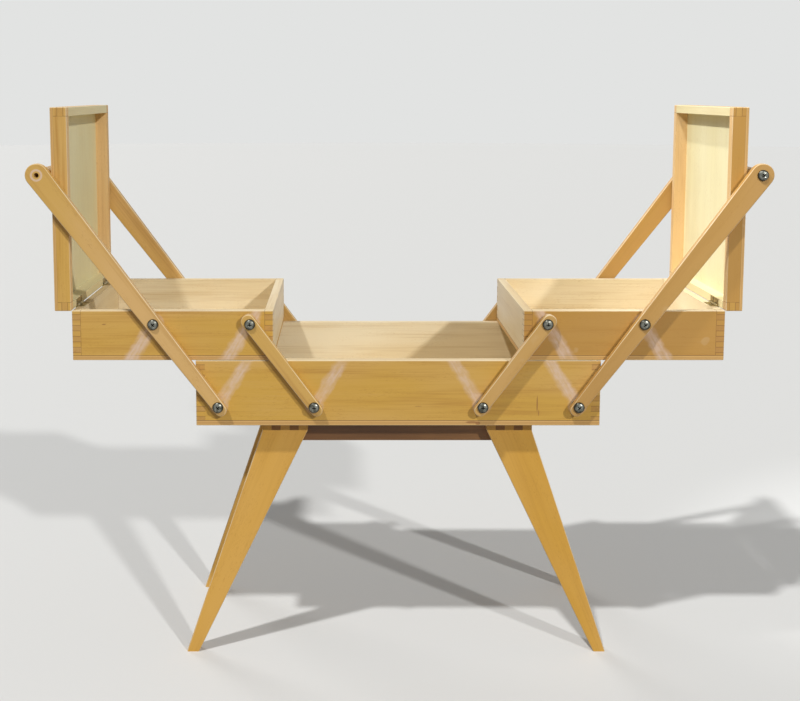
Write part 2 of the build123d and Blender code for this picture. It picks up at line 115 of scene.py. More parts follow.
class SewingBoxWood(bpy.types.PropertyGroup):
    """Colours, figure and wear of the beech"""

    lacquer_pale: colour("Lacquer, pale", "Pale clouds of the lacquered faces", 209, 168, 96)
    lacquer_golden: colour("Lacquer, golden", "Main colour of the lacquered faces", 204, 161, 71)
    lacquer_brown: colour("Lacquer, brown", "Dark streaks of the lacquered faces", 176, 128, 56)
    arm_pale: colour("Arms, pale", "Pale clouds of the arms and the handle bars", 214, 174, 112)
    arm_golden: colour("Arms, golden", "Main colour of the arms and the handle bars", 206, 165, 87)
    arm_brown: colour("Arms, brown", "Dark streaks of the arms and the handle bars", 178, 134, 68)
    stand_pale: colour("Stand, pale", "Pale clouds of the legs", 216, 168, 82)
    stand_golden: colour("Stand, golden", "Main colour of the legs", 208, 158, 62)
    stand_brown: colour("Stand, brown", "Dark streaks of the legs", 180, 128, 48)
    # The underside colours are a dark brown that paints the shade under the base box onto the rails and
    # cross boards.
    under_pale: colour("Underside, pale", "Pale clouds of the rails and cross boards", 134, 94, 55)
    under_golden: colour("Underside, main", "Main colour of the rails and cross boards", 116, 79, 44)
    under_brown: colour("Underside, brown", "Dark streaks of the rails and cross boards", 88, 56, 29)
    bare_pale: colour("Bare, pale", "Pale clouds of the unlacquered insides", 230, 216, 184)
    bare_golden: colour("Bare, golden", "Main colour of the unlacquered insides", 221, 201, 160)
    bare_brown: colour("Bare, brown", "Dark streaks of the unlacquered insides", 200, 174, 130)
    aged_pale: colour("Lid frame inside, pale", "Pale clouds inside the lid frames", 232, 198, 146)
    aged_golden: colour("Lid frame inside, golden", "Main colour inside the lid frames", 220, 182, 124)
    aged_brown: colour("Lid frame inside, brown", "Dark streaks inside the lid frames", 192, 150, 98)
    panel_pale: colour("Lid panel, pale", "Pale clouds of the veneer in the lids", 234, 226, 184)
    panel_golden: colour("Lid panel, golden", "Main colour of the veneer in the lids", 229, 219, 172)
    panel_brown: colour("Lid panel, brown", "Dark streaks of the veneer in the lids", 210, 192, 146)
    end_golden: colour("End grain", "Main colour of the end grain", 186, 138, 80)
    end_brown: colour("End grain, dark", "Pores and rings of the end grain", 146, 98, 54)
    rubbed: colour("Rubbed stripes", "Where the arms have rubbed the lacquer away", 222, 197, 178)
    glue_line: colour("Glue lines", "Joint lines between the fingers", 104, 62, 28)
    streaks: amount("Streaks", "Strength of the long streaks", 1.0)
    flecks: amount("Flecks", "Strength of the short dark flecks", 1.0)
    # Beside real edge wear, the pale edges paint a highlight along every rounded edge.
    wear: amount("Worn edges", "How far the edges are rubbed pale", 1.0)


class SewingBoxMetal(bpy.types.PropertyGroup):
    """Colours of the screws, washers and hinges"""

    steel: colour("Steel", "Clean nickelled steel", 142, 143, 134)
    tarnish: colour("Tarnish", "Dulled parts of the steel", 78, 79, 70)
    # Painted shade: this dark colour is laid into the screw slots and onto the rims of the dome heads, for
    # the shade in the recess and the dark reflection at the rim.
    grime: colour("Grime", "Dark dirt in the slots and under the rims", 40, 37, 32)
    bronze: colour("Bronze", "Dark bronzed brass of the hinges", 110, 98, 64)
    bronze_rubbed: colour("Bronze, rubbed", "Rubbed parts of the hinges", 176, 156, 106)


class SewingBoxScrews(bpy.types.PropertyGroup):
    """Sizes of the dome-head screws and their washers"""

    head_radius: length("Head radius", "Radius of the dome head", 5.6)
    head_rim: length("Head rim", "Height of the straight rim", 0.7)
    head_height: length("Head height", "Whole height of the dome head", 3.4)
    slot_length: length("Slot length", "Length of each arm of the cross", 5.6)
    slot_width: length("Slot width", "Width of the cross", 1.1)
    slot_depth: length("Slot depth", "Depth of the cross", 1.5)
    shank_radius: length("Shank radius", "Radius of the shank", 2.5)
    box_shank: length("Shank into the boxes", "Depth of the pivot screws in the boards", 7.5)
    handle_shank: length("Shank into the bars", "Depth of the handle screws in the bars", 22.0)
    washer_radius: length("Washer radius", "Outer radius of the washers", 6.0)
    washer_hole: length("Washer hole", "Hole radius of the washers", 2.55)


class SewingBoxStandScrews(bpy.types.PropertyGroup):
    """Sizes of the countersunk screws of the stand"""

    head_radius: length("Head radius", "Radius of the flat head", 4.0)
    head_depth: length("Head depth", "Depth of the cone under the head", 2.2)
    shank_radius: length("Shank radius", "Radius of the shank", 2.0)
    screw_length: length("Length", "Whole length of the screw", 14.0)


class SewingBoxHinges(bpy.types.PropertyGroup):
    """Sizes of the butt hinges and of their screws"""

    leaf_length: length("Leaf length", "Length along the pin", 25.0)
    leaf_start: length("Leaf start", "Clear of the knuckles", 2.3)
    leaf_end: length("Leaf end", "Far edge of a leaf from the pin", 7.4)
    leaf_sink: length("Leaf sink", "From the pin's centre to the face of a leaf", 0.2)
    leaf_thickness: length("Leaf thickness", "Thickness of the brass", 1.0)
    knuckle_radius: length("Knuckle radius", "Outer radius of the knuckles", 2.0)
    centre_knuckle: length("Centre knuckle", "Length of the middle knuckle", 9.0)
    knuckle_gap: length("Knuckle gap", "Side gap between knuckles", 0.15)
    pin_radius: length("Pin radius", "Radius of the pin", 0.8)
    screw_spacing: length("Screw spacing", "Between the two screws of a leaf", 15.0)
    screw_head_radius: length("Screw head radius", "Radius of the flat screw heads", 1.9)
    screw_head_depth: length("Screw head depth", "Depth of the cone under the heads", 0.9)
    screw_radius: length("Screw radius", "Radius of the screw shanks", 1.0)
    screw_length: length("Screw length", "Whole length of the screws", 7.0)


class SewingBoxStage(bpy.types.PropertyGroup):
    """Floor, light and camera"""

    floor: colour("Floor", "Plain pale floor", 214, 214, 212)
    backdrop: colour("Backdrop", "What the camera sees beyond the floor", 226, 227, 226)
    floor_bounce: colour("Floor bounce", "Colour that the floor casts back on the box", 130, 122, 112)
    high_light: amount("High light", "Strength of the high light from the left", 1.95)
    front_light: amount("Front light", "Strength of the light from the front right", 1.6)
    back_light: amount("Back light", "Strength of the broad light from behind the left", 0.7)
    room_light: amount("Room light", "Strength of the even light from all round", 0.2)
    lid_lamp: bpy.props.FloatProperty(
        name="Lid lamp", description="Power of the lamp that shines into the right lid",
        default=56.0, min=0, unit="POWER",
    )
    softness: bpy.props.FloatProperty(
        name="Softness", description="Apparent width of the two main lights",
        default=math.radians(2.5), subtype="ANGLE", unit="ROTATION",
    )
    back_softness: bpy.props.FloatProperty(
        name="Back softness", description="Apparent width of the broad light",
        default=math.radians(24), subtype="ANGLE", unit="ROTATION",
    )


# ---- Node helpers ---------------------------------------------------------------------------

class Nodes:
    """Adds nodes to one tree; a plain value or another node's socket may feed an input"""

    def __init__(self, tree):
        self.tree = tree

    def feed(self, socket, value):
        """Link a socket into an input, or set the input to a plain value"""
        if isinstance(value, bpy.types.NodeSocket):
            self.tree.links.new(value, socket)
        elif socket.type == "RGBA":
            socket.default_value = (*value, 1.0)
        else:
            socket.default_value = value

    def add(self, kind, inputs=None, **settings):
        """A node with its inputs fed and its own settings set"""
        node = self.tree.nodes.new(kind)
        for key, value in settings.items():
            setattr(node, key, value)
        for key, value in (inputs or {}).items():
            self.feed(node.inputs[key], value)
        return node

    def math(self, operation, *values):
        """One operation on numbers"""
        return self.add("ShaderNodeMath", dict(enumerate(values)), operation=operation).outputs[0]

    def product(self, *values):
        """Numbers multiplied together"""
        result = values[0]
        for value in values[1:]:
            result = self.math("MULTIPLY", result, value)
        return result

    def vector(self, operation, *values):
        """One operation on vectors"""
        node = self.add("ShaderNodeVectorMath", dict(enumerate(values)), operation=operation)
        scalar = operation in {"DOT_PRODUCT", "LENGTH", "DISTANCE"}
        return node.outputs["Value" if scalar else "Vector"]

    def parts(self, vector):
        """The X, Y and Z of a vector"""
        return self.add("ShaderNodeSeparateXYZ", {0: vector}).outputs

    def combined(self, x=0.0, y=0.0, z=0.0):
        """A vector from its parts"""
        return self.add("ShaderNodeCombineXYZ", {0: x, 1: y, 2: z}).outputs[0]

    def along(self, place, axis, sign):
        """Distance from the origin along one axis, towards its positive or negative end"""
        return self.product(self.parts(place)[axis], sign)

    def largest(self, vector):
        """The largest part of a vector"""
        x, y, z = self.parts(vector)
        return self.math("MAXIMUM", x, self.math("MAXIMUM", y, z))

    def distance_round_y(self, offset):
        """Length of an offset as seen along Y"""
        return self.vector("LENGTH", self.vector("MULTIPLY", offset, (1.0, 0.0, 1.0)))

    def place(self):
        """Where each point of a geometry lies"""
        return self.add("GeometryNodeInputPosition").outputs[0]

    def placed(self, geometry, place):
        """A geometry with its points set to new places"""
        inputs = {"Geometry": geometry, "Position": place}
        return self.add("GeometryNodeSetPosition", inputs).outputs[0]

    def step(self, value, low, high):
        """0 below low, 1 above high and smooth between them"""
        inputs = {"Value": value, "From Min": low, "From Max": high}
        return self.add("ShaderNodeMapRange", inputs, interpolation_type="SMOOTHSTEP").outputs[0]

    def below(self, value, low, high):
        """1 below low, 0 above high and smooth between them"""
        return self.math("SUBTRACT", 1.0, self.step(value, low, high))

    def mix(self, factor, first, second):
        """Mix of two colours"""
        node = self.add("ShaderNodeMix", data_type="RGBA")
        for index, value in ((0, factor), (6, first), (7, second)):
            self.feed(node.inputs[index], value)
        return node.outputs[2]

    def cover(self, tint, over, *masks):
        """The tint with another colour over it, as far as the masks and strengths say"""
        return self.mix(self.product(*masks), tint, over)

    def blend(self, factor, first, second):
        """Mix of two numbers"""
        node = self.add("ShaderNodeMix", data_type="FLOAT")
        for index, value in ((0, factor), (2, first), (3, second)):
            self.feed(node.inputs[index], value)
        return node.outputs[0]

    def noise(self, vector, stretch, detail=2.0):
        """Noise whose clouds are finer along an axis where stretch is larger"""
        scaled = self.vector("MULTIPLY", vector, stretch)
        inputs = {"Vector": scaled, "Scale": 1.0, "Detail": detail}
        return self.add("ShaderNodeTexNoise", inputs).outputs[0]

    def bump(self, shader, height, strength, distance):
        """Let a height shape the shader's normal"""
        inputs = {"Height": height, "Strength": strength, "Distance": distance}
        self.feed(shader.inputs["Normal"], self.add("ShaderNodeBump", inputs).outputs[0])

    def group(self, tree, **inputs):
        """Place a shared effect; an underscore stands for the space in an input's name"""
        node = self.tree.nodes.new("ShaderNodeGroup")
        node.node_tree = tree
        for key, value in inputs.items():
            self.feed(node.inputs[key.replace("_", " ")], value)
        return node.outputs


SOCKETS = {"v": "NodeSocketVector", "f": "NodeSocketFloat", "c": "NodeSocketColor"}


def shader_group(name, inputs, outputs, build):
    """A shader group, built once; inputs and outputs are written as 'kind Name'"""
    tree = bpy.data.node_groups.get(name)
    if tree:
        return tree
    tree = bpy.data.node_groups.new(name, "ShaderNodeTree")
    for direction, labels in (("INPUT", inputs), ("OUTPUT", outputs)):
        for text in labels:
            kind, label = text.split(" ", 1)
            tree.interface.new_socket(name=label, in_out=direction, socket_type=SOCKETS[kind])
    nodes = Nodes(tree)
    given = nodes.add("NodeGroupInput").outputs
    made = nodes.add("NodeGroupOutput")
    for label, socket in build(nodes, given).items():
        nodes.feed(made.inputs[label], socket)
    return tree


# ---- Shared effects -------------------------------------------------------------------------

LINE = (0.2 * MM, 0.5 * MM)     # from its middle, where a thin line starts to fade and where it ends


def build_figure(nodes, given):
    """Clouds, fine streaks and short flecks of beech whose grain runs along X"""
    vector = given["Vector"]
    cloud = nodes.noise(vector, (5.0, 16.0, 16.0), 2.0)
    broad = nodes.noise(vector, (5.0, 95.0, 95.0), 4.0)
    fine = nodes.noise(vector, (16.0, 620.0, 620.0), 3.0)
    tone = nodes.math("MULTIPLY", nodes.math("SUBTRACT", broad, 0.5), 0.85)
    tone = nodes.math("MULTIPLY_ADD", nodes.math("SUBTRACT", fine, 0.5), 0.5, tone)
    tone = nodes.math("MULTIPLY_ADD", tone, given["Streaks"], 0.5)
    dash = nodes.step(nodes.noise(vector, (240.0, 1500.0, 2600.0), 1.0), 0.6, 0.7)
    patch = nodes.step(nodes.noise(vector, (22.0, 120.0, 120.0), 1.0), 0.42, 0.62)
    fleck = nodes.product(dash, patch, given["Flecks"])
    height = nodes.math("MULTIPLY_ADD", fleck, -0.8, nodes.math("MULTIPLY", fine, 0.7))
    cloud = nodes.step(cloud, 0.36, 0.66)
    return {"Tone": tone, "Cloud": cloud, "Fleck": fleck, "Height": height}


def build_wood_colour(nodes, given):
    """Colour of the figure, from its clouds, its tone and its flecks"""
    base = nodes.mix(given["Cloud"], given["Golden"], given["Pale"])
    dark = nodes.mix(nodes.step(given["Tone"], 0.1, 0.56), given["Brown"], base)
    light = nodes.mix(nodes.product(nodes.step(given["Tone"], 0.5, 0.9), 0.7), dark, given["Pale"])
    return {"Color": nodes.mix(nodes.product(given["Fleck"], 0.55), light, given["Brown"])}


def build_end_grain(nodes, given):
    """Pores and rings where the grain comes out of the wood"""
    vector = given["Vector"]
    pores = nodes.step(nodes.noise(vector, (60.0, 2300.0, 2300.0), 2.0), 0.52, 0.66)
    cloud = nodes.noise(vector, (20.0, 130.0, 130.0), 3.0)
    shade = nodes.math("MULTIPLY_ADD", pores, 0.5, nodes.math("MULTIPLY", cloud, 0.55))
    return {"Color": nodes.mix(shade, given["Golden"], given["Brown"]), "Height": pores}


def build_faces(nodes, given):
    """Where a board shows its end grain, and its pale edges: partly rubbed edges, partly a painted
    highlight
    """
    size = nodes.vector("ABSOLUTE", given["Normal"])
    slope = nodes.math("SUBTRACT", 1.0, nodes.largest(size))
    rub = nodes.step(nodes.noise(given["Vector"], (26.0, 26.0, 26.0), 3.0), 0.3, 0.62)
    edge = nodes.product(nodes.step(slope, 0.01, 0.16), nodes.math("MULTIPLY_ADD", rub, 0.6, 0.4))
    end_face = nodes.step(nodes.parts(size)["X"], 0.5, 0.85)
    return {"End Face": end_face, "Worn Edge": nodes.product(edge, given["Wear"])}


def build_inside(nodes, given):
    """1 within a box round Middle, which marks the inner faces of the walls"""
    offset = nodes.vector("SUBTRACT", given["Vector"], given["Middle"])
    beyond = nodes.vector("SUBTRACT", nodes.vector("ABSOLUTE", offset), given["Half Size"])
    return {"Mask": nodes.below(nodes.largest(beyond), -0.1 * MM, 0.3 * MM)}


def build_stripe(nodes, given):
    """A soft cloudy band, with a halo round the pivot, that an arm has rubbed behind it"""
    offset = nodes.vector("SUBTRACT", given["Vector"], given["Centre"])
    along = nodes.vector("DOT_PRODUCT", offset, given["Along"])
    sideways = nodes.vector("CROSS_PRODUCT", given["Along"], (0.0, 1.0, 0.0))
    across = nodes.math("ABSOLUTE", nodes.vector("DOT_PRODUCT", offset, sideways))
    ragged = nodes.noise(given["Vector"], (110.0, 110.0, 110.0), 3.0)
    across = nodes.math("MULTIPLY_ADD", nodes.math("SUBTRACT", ragged, 0.5), 7 * MM, across)
    inner = nodes.math("SUBTRACT", given["Half Width"], 4 * MM)
    band = nodes.below(across, inner, nodes.math("ADD", given["Half Width"], 1.6 * MM))
    start = nodes.step(along, 0.0, 6 * MM)
    last = nodes.math("ADD", given["Length"], 10 * MM)
    end = nodes.below(along, nodes.product(given["Length"], 0.8), last)
    brushed = nodes.vector("MULTIPLY_ADD", given["Along"], nodes.math("MULTIPLY", along, -0.85), offset)
    streak = nodes.step(nodes.noise(brushed, (420.0, 90.0, 420.0), 3.0), 0.3, 0.62)
    streak = nodes.math("MULTIPLY_ADD", streak, 0.4, 0.6)
    cloud = nodes.step(nodes.noise(given["Vector"], (70.0, 70.0, 70.0), 4.0), 0.3, 0.66)
    cloud = nodes.math("MULTIPLY_ADD", cloud, 0.6, 0.4)
    stripe = nodes.product(band, start, end, cloud, streak)
    away = nodes.distance_round_y(offset)
    halo = nodes.product(nodes.below(away, 8.4 * MM, 11.2 * MM), cloud, 0.6)
    depth = nodes.math("ABSOLUTE", nodes.parts(given["Vector"])["Y"])
    outside = nodes.step(depth, box_face - 1.5 * MM, box_face - 0.5 * MM)
    return {"Mask": nodes.product(nodes.math("MAXIMUM", stripe, halo), outside)}


def build_mark(nodes, given):
    """A small soft-edged spot, such as a knot or a dent"""
    offset = nodes.vector("SUBTRACT", given["Vector"], given["Centre"])
    distance = nodes.vector("LENGTH", nodes.vector("DIVIDE", offset, given["Half Size"]))
    return {"Mask": nodes.below(distance, 0.55, 1.05)}


def build_finger_lines(nodes, given):
    """Thin joint lines at the cuts between the fingers, and at their roots"""
    phase = nodes.math("DIVIDE", nodes.math("SUBTRACT", given["Height"], given["First"]), given["Pitch"])
    distance = nodes.product(nodes.math("PINGPONG", phase, 0.5), given["Pitch"])
    in_joint = nodes.step(given["Reach"], -LINE[0], 0.0)
    cuts = nodes.product(nodes.below(distance, *LINE), in_joint)
    root = nodes.product(nodes.below(nodes.math("ABSOLUTE", given["Reach"]), *LINE), given["Roots"])
    return {"Mask": nodes.math("MAXIMUM", cuts, root)}


def build_plies(nodes, given):
    """Core and glue line of a thin three-ply panel; Height runs from 0 to 1 through it"""
    rise = nodes.step(given["Height"], 0.3, 0.36)
    fall = nodes.below(given["Height"], 0.6, 0.66)
    glue = nodes.step(given["Height"], 0.84, 0.94)
    return {"Core": nodes.product(rise, fall), "Glue": glue}


def build_handling(nodes, given):
    """Fine scratches and a little soil from use"""
    vector = given["Vector"]
    hair = nodes.step(nodes.noise(vector, (35.0, 700.0, 35.0), 2.0), 0.66, 0.7)
    where = nodes.step(nodes.noise(vector, (14.0, 14.0, 14.0), 1.0), 0.52, 0.66)
    grime = nodes.step(nodes.noise(vector, (11.0, 11.0, 11.0), 5.0), 0.48, 0.78)
    return {"Scratch": nodes.product(hair, where), "Grime": grime}


def build_dulled_metal(nodes, given):
    """Tarnish in soft patches, with dark specks"""
    vector = given["Vector"]
    patch = nodes.step(nodes.noise(vector, (240.0, 240.0, 240.0), 3.0), 0.35, 0.7)
    speck = nodes.step(nodes.noise(vector, (2200.0, 2200.0, 2200.0), 2.0), 0.62, 0.72)
    tarnish = nodes.math("MAXIMUM", patch, nodes.product(speck, 0.6))
    return {"Tarnish": tarnish, "Height": nodes.noise(vector, (1800.0, 1800.0, 1800.0), 1.0)}


def effects():
    """All shared effects by name"""
    def group(name, inputs, outputs, build):
        return shader_group(name, inputs.split(", "), outputs.split(", "), build)

    return {
        "figure": group(
            "Beech Figure", "v Vector, f Streaks, f Flecks",
            "f Tone, f Cloud, f Fleck, f Height", build_figure,
        ),
        "colour": group(
            "Beech Colour", "f Tone, f Cloud, f Fleck, c Pale, c Golden, c Brown", "c Color",
            build_wood_colour,
        ),
        "end_grain": group(
            "Beech End Grain", "v Vector, c Golden, c Brown", "c Color, f Height", build_end_grain,
        ),
        "faces": group(
            "Board Faces", "v Normal, v Vector, f Wear", "f End Face, f Worn Edge", build_faces,
        ),
        "inside": group("Inside of a Box", "v Vector, v Middle, v Half Size", "f Mask", build_inside),
        "stripe": group(
            "Rubbed Stripe", "v Vector, v Centre, v Along, f Half Width, f Length", "f Mask",
            build_stripe,
        ),
        "mark": group("Small Mark", "v Vector, v Centre, v Half Size", "f Mask", build_mark),
        "fingers": group(
            "Finger Joint Lines", "f Height, f First, f Pitch, f Reach, f Roots", "f Mask",
            build_finger_lines,
        ),
        "plies": group("Thin Plies", "f Height", "f Core, f Glue", build_plies),
        "handling": group("Handling Marks", "v Vector", "f Scratch, f Grime", build_handling),
        "metal": group("Dulled Metal", "v Vector", "f Tarnish, f Height", build_dulled_metal),
    }


# ---- Materials ------------------------------------------------------------------------------

GRAIN_X = (0.0, 0.0, 0.0)
GRAIN_Y = (0.0, 0.0, -math.pi / 2)
GRAIN_Z = (0.0, math.pi / 2, 0.0)


def grain_along(x, z):
    """Turn that lays a direction in the XZ plane along the grain"""
    return (0.0, math.atan2(z, x), 0.0)


def new_material(name):
    """An empty node material with its Principled shader and output joined"""
    material = bpy.data.materials.new(name)
    material.use_nodes = True
    material.node_tree.nodes.clear()
    nodes = Nodes(material.node_tree)
    shader = nodes.add("ShaderNodeBsdfPrincipled")
    nodes.add("ShaderNodeOutputMaterial", {"Surface": shader.outputs[0]})
    return material, nodes, shader


class Board:
    """What one wooden piece needs for its finish"""

    DEFAULTS = {
        "inside": "bare",       # look of the faces in the hollow, on the rim and on the cheek
        "cavity": None,         # middle and half size of the hollow of its box
        "rim": None,            # axis, sign and level of the rim, whose lacquer is rubbed off
        "cheek": None,          # sign and level of the bare outer face of a tray's inner end
        "fingers": None,        # joint lines, as finger_lines takes them
        "plies": None,          # axis, sign, start and thickness of a thin panel
        "glue": 0.8,            # how dark the panel's glue line is
        "stripes": (),          # centre, direction, half width and length of each rubbed stripe
        "rings": (),            # centre, inner and outer radius of each ring that a head has left
        "marks": (),            # centre, half size and strength of each small mark
        "age": 0.0,             # how far the look is darkened to its own brown, as painted shade
        "end_grain": 0.4,       # how much of the end grain shows through the lacquer
        "streaks": 1.0,         # strength of the long streaks
    }

    def __init__(self, node, grain, seed, look="lacquer", **extra):
        self.node, self.grain, self.seed, self.look = node, grain, seed, look
        for key, value in {**self.DEFAULTS, **extra}.items():
            setattr(self, key, value)


SIDE_SHADE = {"left": 0.0, "right": 0.68}     # painted shade: the right tray, lid and long arms are darkened towards their brown
TONES = ("pale", "golden", "brown")     # the settings hold these three colours for each look
SCATTER = (12.9898, 78.233, 37.719)     # spreads the seeds over parts of the timber far from each other

# How much of the colour under it each effect covers
COVER = {
    "rim": 0.85, "cheek": 0.85, "ply edge": 0.7, "ply core": 0.6, "stripe": 0.82, "ring": 0.7,
    "worn edge": 0.7, "finger line": 0.5, "grime": 0.1, "scratch": 0.12,
}
ROUGHNESS = {"lacquer": 0.4, "bare": 0.6, "rubbed": 0.62}


def turned_to_grain(nodes, board, place, normal):
    """Place and normal turned so that the grain runs along X, each board in its own timber"""
    random = [math.sin(board.seed * k) for k in SCATTER]
    offset = (random[0] * 3.0, 0.03 + random[1] * 0.02, 0.05 + random[2] * 0.02)
    inputs = {"Vector": place, "Rotation": board.grain, "Location": offset}
    own = nodes.add("ShaderNodeMapping", inputs).outputs[0]
    inputs = {"Vector": normal, "Rotation": board.grain}
    return own, nodes.add("ShaderNodeMapping", inputs, vector_type="VECTOR").outputs[0]


def dull_faces(nodes, group, board, place):
    """Mask of the unlacquered faces: the hollow of the box and the rim"""
    dull = 0.0
    if board.cavity:
        middle, half = board.cavity
        dull = nodes.group(group["inside"], Vector=place, Middle=middle, Half_Size=half)["Mask"]
    if board.rim:
        axis, sign, level = board.rim
        on_rim = nodes.step(nodes.along(place, axis, sign), level - 0.9 * MM, level - 0.2 * MM)
        dull = nodes.math("MAXIMUM", dull, nodes.product(on_rim, COVER["rim"]))
    return dull


def ply_edges(nodes, group, board, settings, place, normal, tint):
    """The tint with the layers of a thin panel on its narrow edges"""
    axis, sign, start, thickness = board.plies
    height = nodes.math("SUBTRACT", nodes.along(place, axis, sign), start)
    plies = nodes.group(group["plies"], Height=nodes.math("DIVIDE", height, thickness))
    edge = nodes.below(nodes.parts(nodes.vector("ABSOLUTE", normal))[axis], 0.4, 0.7)
    tint = nodes.cover(tint, settings.arm_pale, edge, COVER["ply edge"])
    tint = nodes.cover(tint, settings.end_golden, plies["Core"], edge, COVER["ply core"])
    return nodes.cover(tint, settings.glue_line, plies["Glue"], edge, board.glue)


def finger_lines(nodes, group, board, place):
    """Mask of the joint lines of a board at both its corners"""
    axis, sign, start, first, pitch, across, middle, reach, roots = board.fingers
    height = nodes.math("SUBTRACT", nodes.along(place, axis, sign), start)
    sideways = nodes.math("ABSOLUTE", nodes.math("SUBTRACT", nodes.parts(place)[across], middle))
    return nodes.group(
        group["fingers"], Height=height, First=first, Pitch=pitch,
        Reach=nodes.math("SUBTRACT", sideways, reach), Roots=roots,
    )["Mask"]


def wood_material(board, settings):
    """Procedural beech for one piece, with its grain along the piece's own direction"""
    group = effects()
    material, nodes, shader = new_material(board.node + "_beech")
    coordinates = nodes.add("ShaderNodeTexCoord").outputs
    place, normal = coordinates["Object"], coordinates["Normal"]
    own, own_normal = turned_to_grain(nodes, board, place, normal)
    streaks = settings.streaks * board.streaks
    figure = nodes.group(group["figure"], Vector=own, Streaks=streaks, Flecks=settings.flecks)
    faces = nodes.group(group["faces"], Normal=own_normal, Vector=place, Wear=settings.wear)
    handling = nodes.group(group["handling"], Vector=own)
    end_grain = nodes.group(
        group["end_grain"], Vector=own, Golden=settings.end_golden, Brown=settings.end_brown,
    )

    def tinted(look):
        pale, golden, brown = (getattr(settings, f"{look}_{tone}") for tone in TONES)
        return nodes.group(
            group["colour"], Tone=figure["Tone"], Cloud=figure["Cloud"], Fleck=figure["Fleck"],
            Pale=pale, Golden=golden, Brown=brown,
        )["Color"]

    tint = tinted(board.look)
    bare = tinted(board.inside) if board.look != board.inside else tint
    # Painted shade: pieces on the shaded right side are mixed towards their brown.
    if board.age:
        tint = nodes.mix(board.age, tint, getattr(settings, board.look + "_brown"))
    dull = dull_faces(nodes, group, board, place)
    tint = nodes.mix(dull, tint, bare)
    tint = nodes.cover(tint, end_grain["Color"], faces["End Face"], board.end_grain)
    if board.cheek:
        sign, level = board.cheek
        on_cheek = nodes.below(nodes.along(place, "X", sign), level + 0.2 * MM, level + 0.6 * MM)
        tint = nodes.cover(tint, bare, on_cheek, COVER["cheek"])
    if board.plies:
        tint = ply_edges(nodes, group, board, settings, place, normal, tint)
    worn = 0.0
    for centre, along, half_width, reach in board.stripes:
        stripe = nodes.group(
            group["stripe"], Vector=place, Centre=centre, Along=along,
            Half_Width=half_width, Length=reach,
        )["Mask"]
        worn = nodes.math("MAXIMUM", worn, stripe)
    tint = nodes.cover(tint, settings.rubbed, worn, COVER["stripe"])
    for centre, inner, outer in board.rings:
        away = nodes.distance_round_y(nodes.vector("SUBTRACT", place, centre))
        ring = nodes.product(
            nodes.step(away, inner - 0.4 * MM, inner), nodes.below(away, outer, outer + 0.6 * MM),
        )
        tint = nodes.cover(tint, settings.rubbed, ring, COVER["ring"])
    # Pale edges: partly edge wear, partly a painted highlight along the rounded edges.
    tint = nodes.cover(tint, settings.bare_pale, faces["Worn Edge"], COVER["worn edge"])
    if board.fingers:
        lines = finger_lines(nodes, group, board, place)
        tint = nodes.cover(tint, settings.glue_line, lines, COVER["finger line"])
    for centre, half, strength in board.marks:
        mark = nodes.group(group["mark"], Vector=place, Centre=centre, Half_Size=half)["Mask"]
        tint = nodes.cover(tint, settings.end_brown, mark, strength)
    tint = nodes.cover(tint, settings.end_golden, handling["Grime"], COVER["grime"])
    tint = nodes.cover(tint, settings.bare_pale, handling["Scratch"], COVER["scratch"])
    nodes.feed(shader.inputs["Base Color"], tint)
    rough = nodes.blend(dull, ROUGHNESS["lacquer"], ROUGHNESS["bare"])
    open_grain = nodes.math("MAXIMUM", worn, faces["End Face"])
    rough = nodes.blend(open_grain, rough, ROUGHNESS["rubbed"])
    nodes.feed(shader.inputs["Roughness"], nodes.math("MULTIPLY_ADD", figure["Tone"], 0.08, rough))
    pores = nodes.product(faces["End Face"], -0.6)
    height = nodes.math("MULTIPLY_ADD", end_grain["Height"], pores, figure["Height"])
    nodes.bump(shader, height, 0.22, 0.3 * MM)
    return material


def metal_material(name, clean, dark, grime, roughness):
    """Dulled metal, with painted shade where the piece's own attribute says"""
    material, nodes, shader = new_material(name)
    place = nodes.add("ShaderNodeTexCoord").outputs["Object"]
    metal = nodes.group(effects()["metal"], Vector=place)
    # Painted shade, where the head's attribute says.
    painted_shade = nodes.add("ShaderNodeAttribute", attribute_name="grime").outputs["Fac"]
    tint = nodes.mix(metal["Tarnish"], clean, dark)
    nodes.feed(shader.inputs["Base Color"], nodes.mix(painted_shade, tint, grime))
    nodes.feed(shader.inputs["Roughness"], nodes.blend(metal["Tarnish"], roughness, roughness + 0.22))
    shader.inputs["Metallic"].default_value = 1.0
    nodes.bump(shader, metal["Height"], 0.1, 0.1 * MM)
    return material


def finish_boards(boards):
    """Give every board in a list its own beech"""
    settings = bpy.context.scene.sewing_box_wood
    for board in boards:
        material = wood_material(board, settings)
        for slot in frame["nodes"][board.node].material_slots:
            slot.material = material


# ---- Boards of the boxes --------------------------------------------------------------------

open_arm = joint_place("right_tray_pivot") - joint_place("right_long_arms_swing")
open_angle = math.atan2(open_arm.x, open_arm.z)
pivot_spacing = joint_place("right_long_arms_swing").x - joint_place("right_short_arms_swing").x
BASE_FINGERS = (3.9 * MM, 5.5 * MM)     # height of the first cut, and from cut to cut
TRAY_FINGERS = (2.9 * MM, 5.7 * MM)
LID_FINGERS = (4.0 * MM, 6.2 * MM)
RUBBED_LEAN = math.radians(32.5)        # lean of the arms when the box is nearly closed
SLACK = 0.4 * MM                        # lets a hollow take in the inner faces of its walls


def rubbed_stripes(pivots, direction, half_width, reach):
    """Stripes from each pivot along its arm as it lies when the box is nearly closed"""
    stripes = []
    for x, z in pivots:
        side = math.copysign(1, x)
        along = Vector((-side * math.sin(RUBBED_LEAN), 0.0, math.cos(RUBBED_LEAN))) * direction
        stripes.append(((x, 0.0, z), tuple(along), half_width, reach))
    return stripes


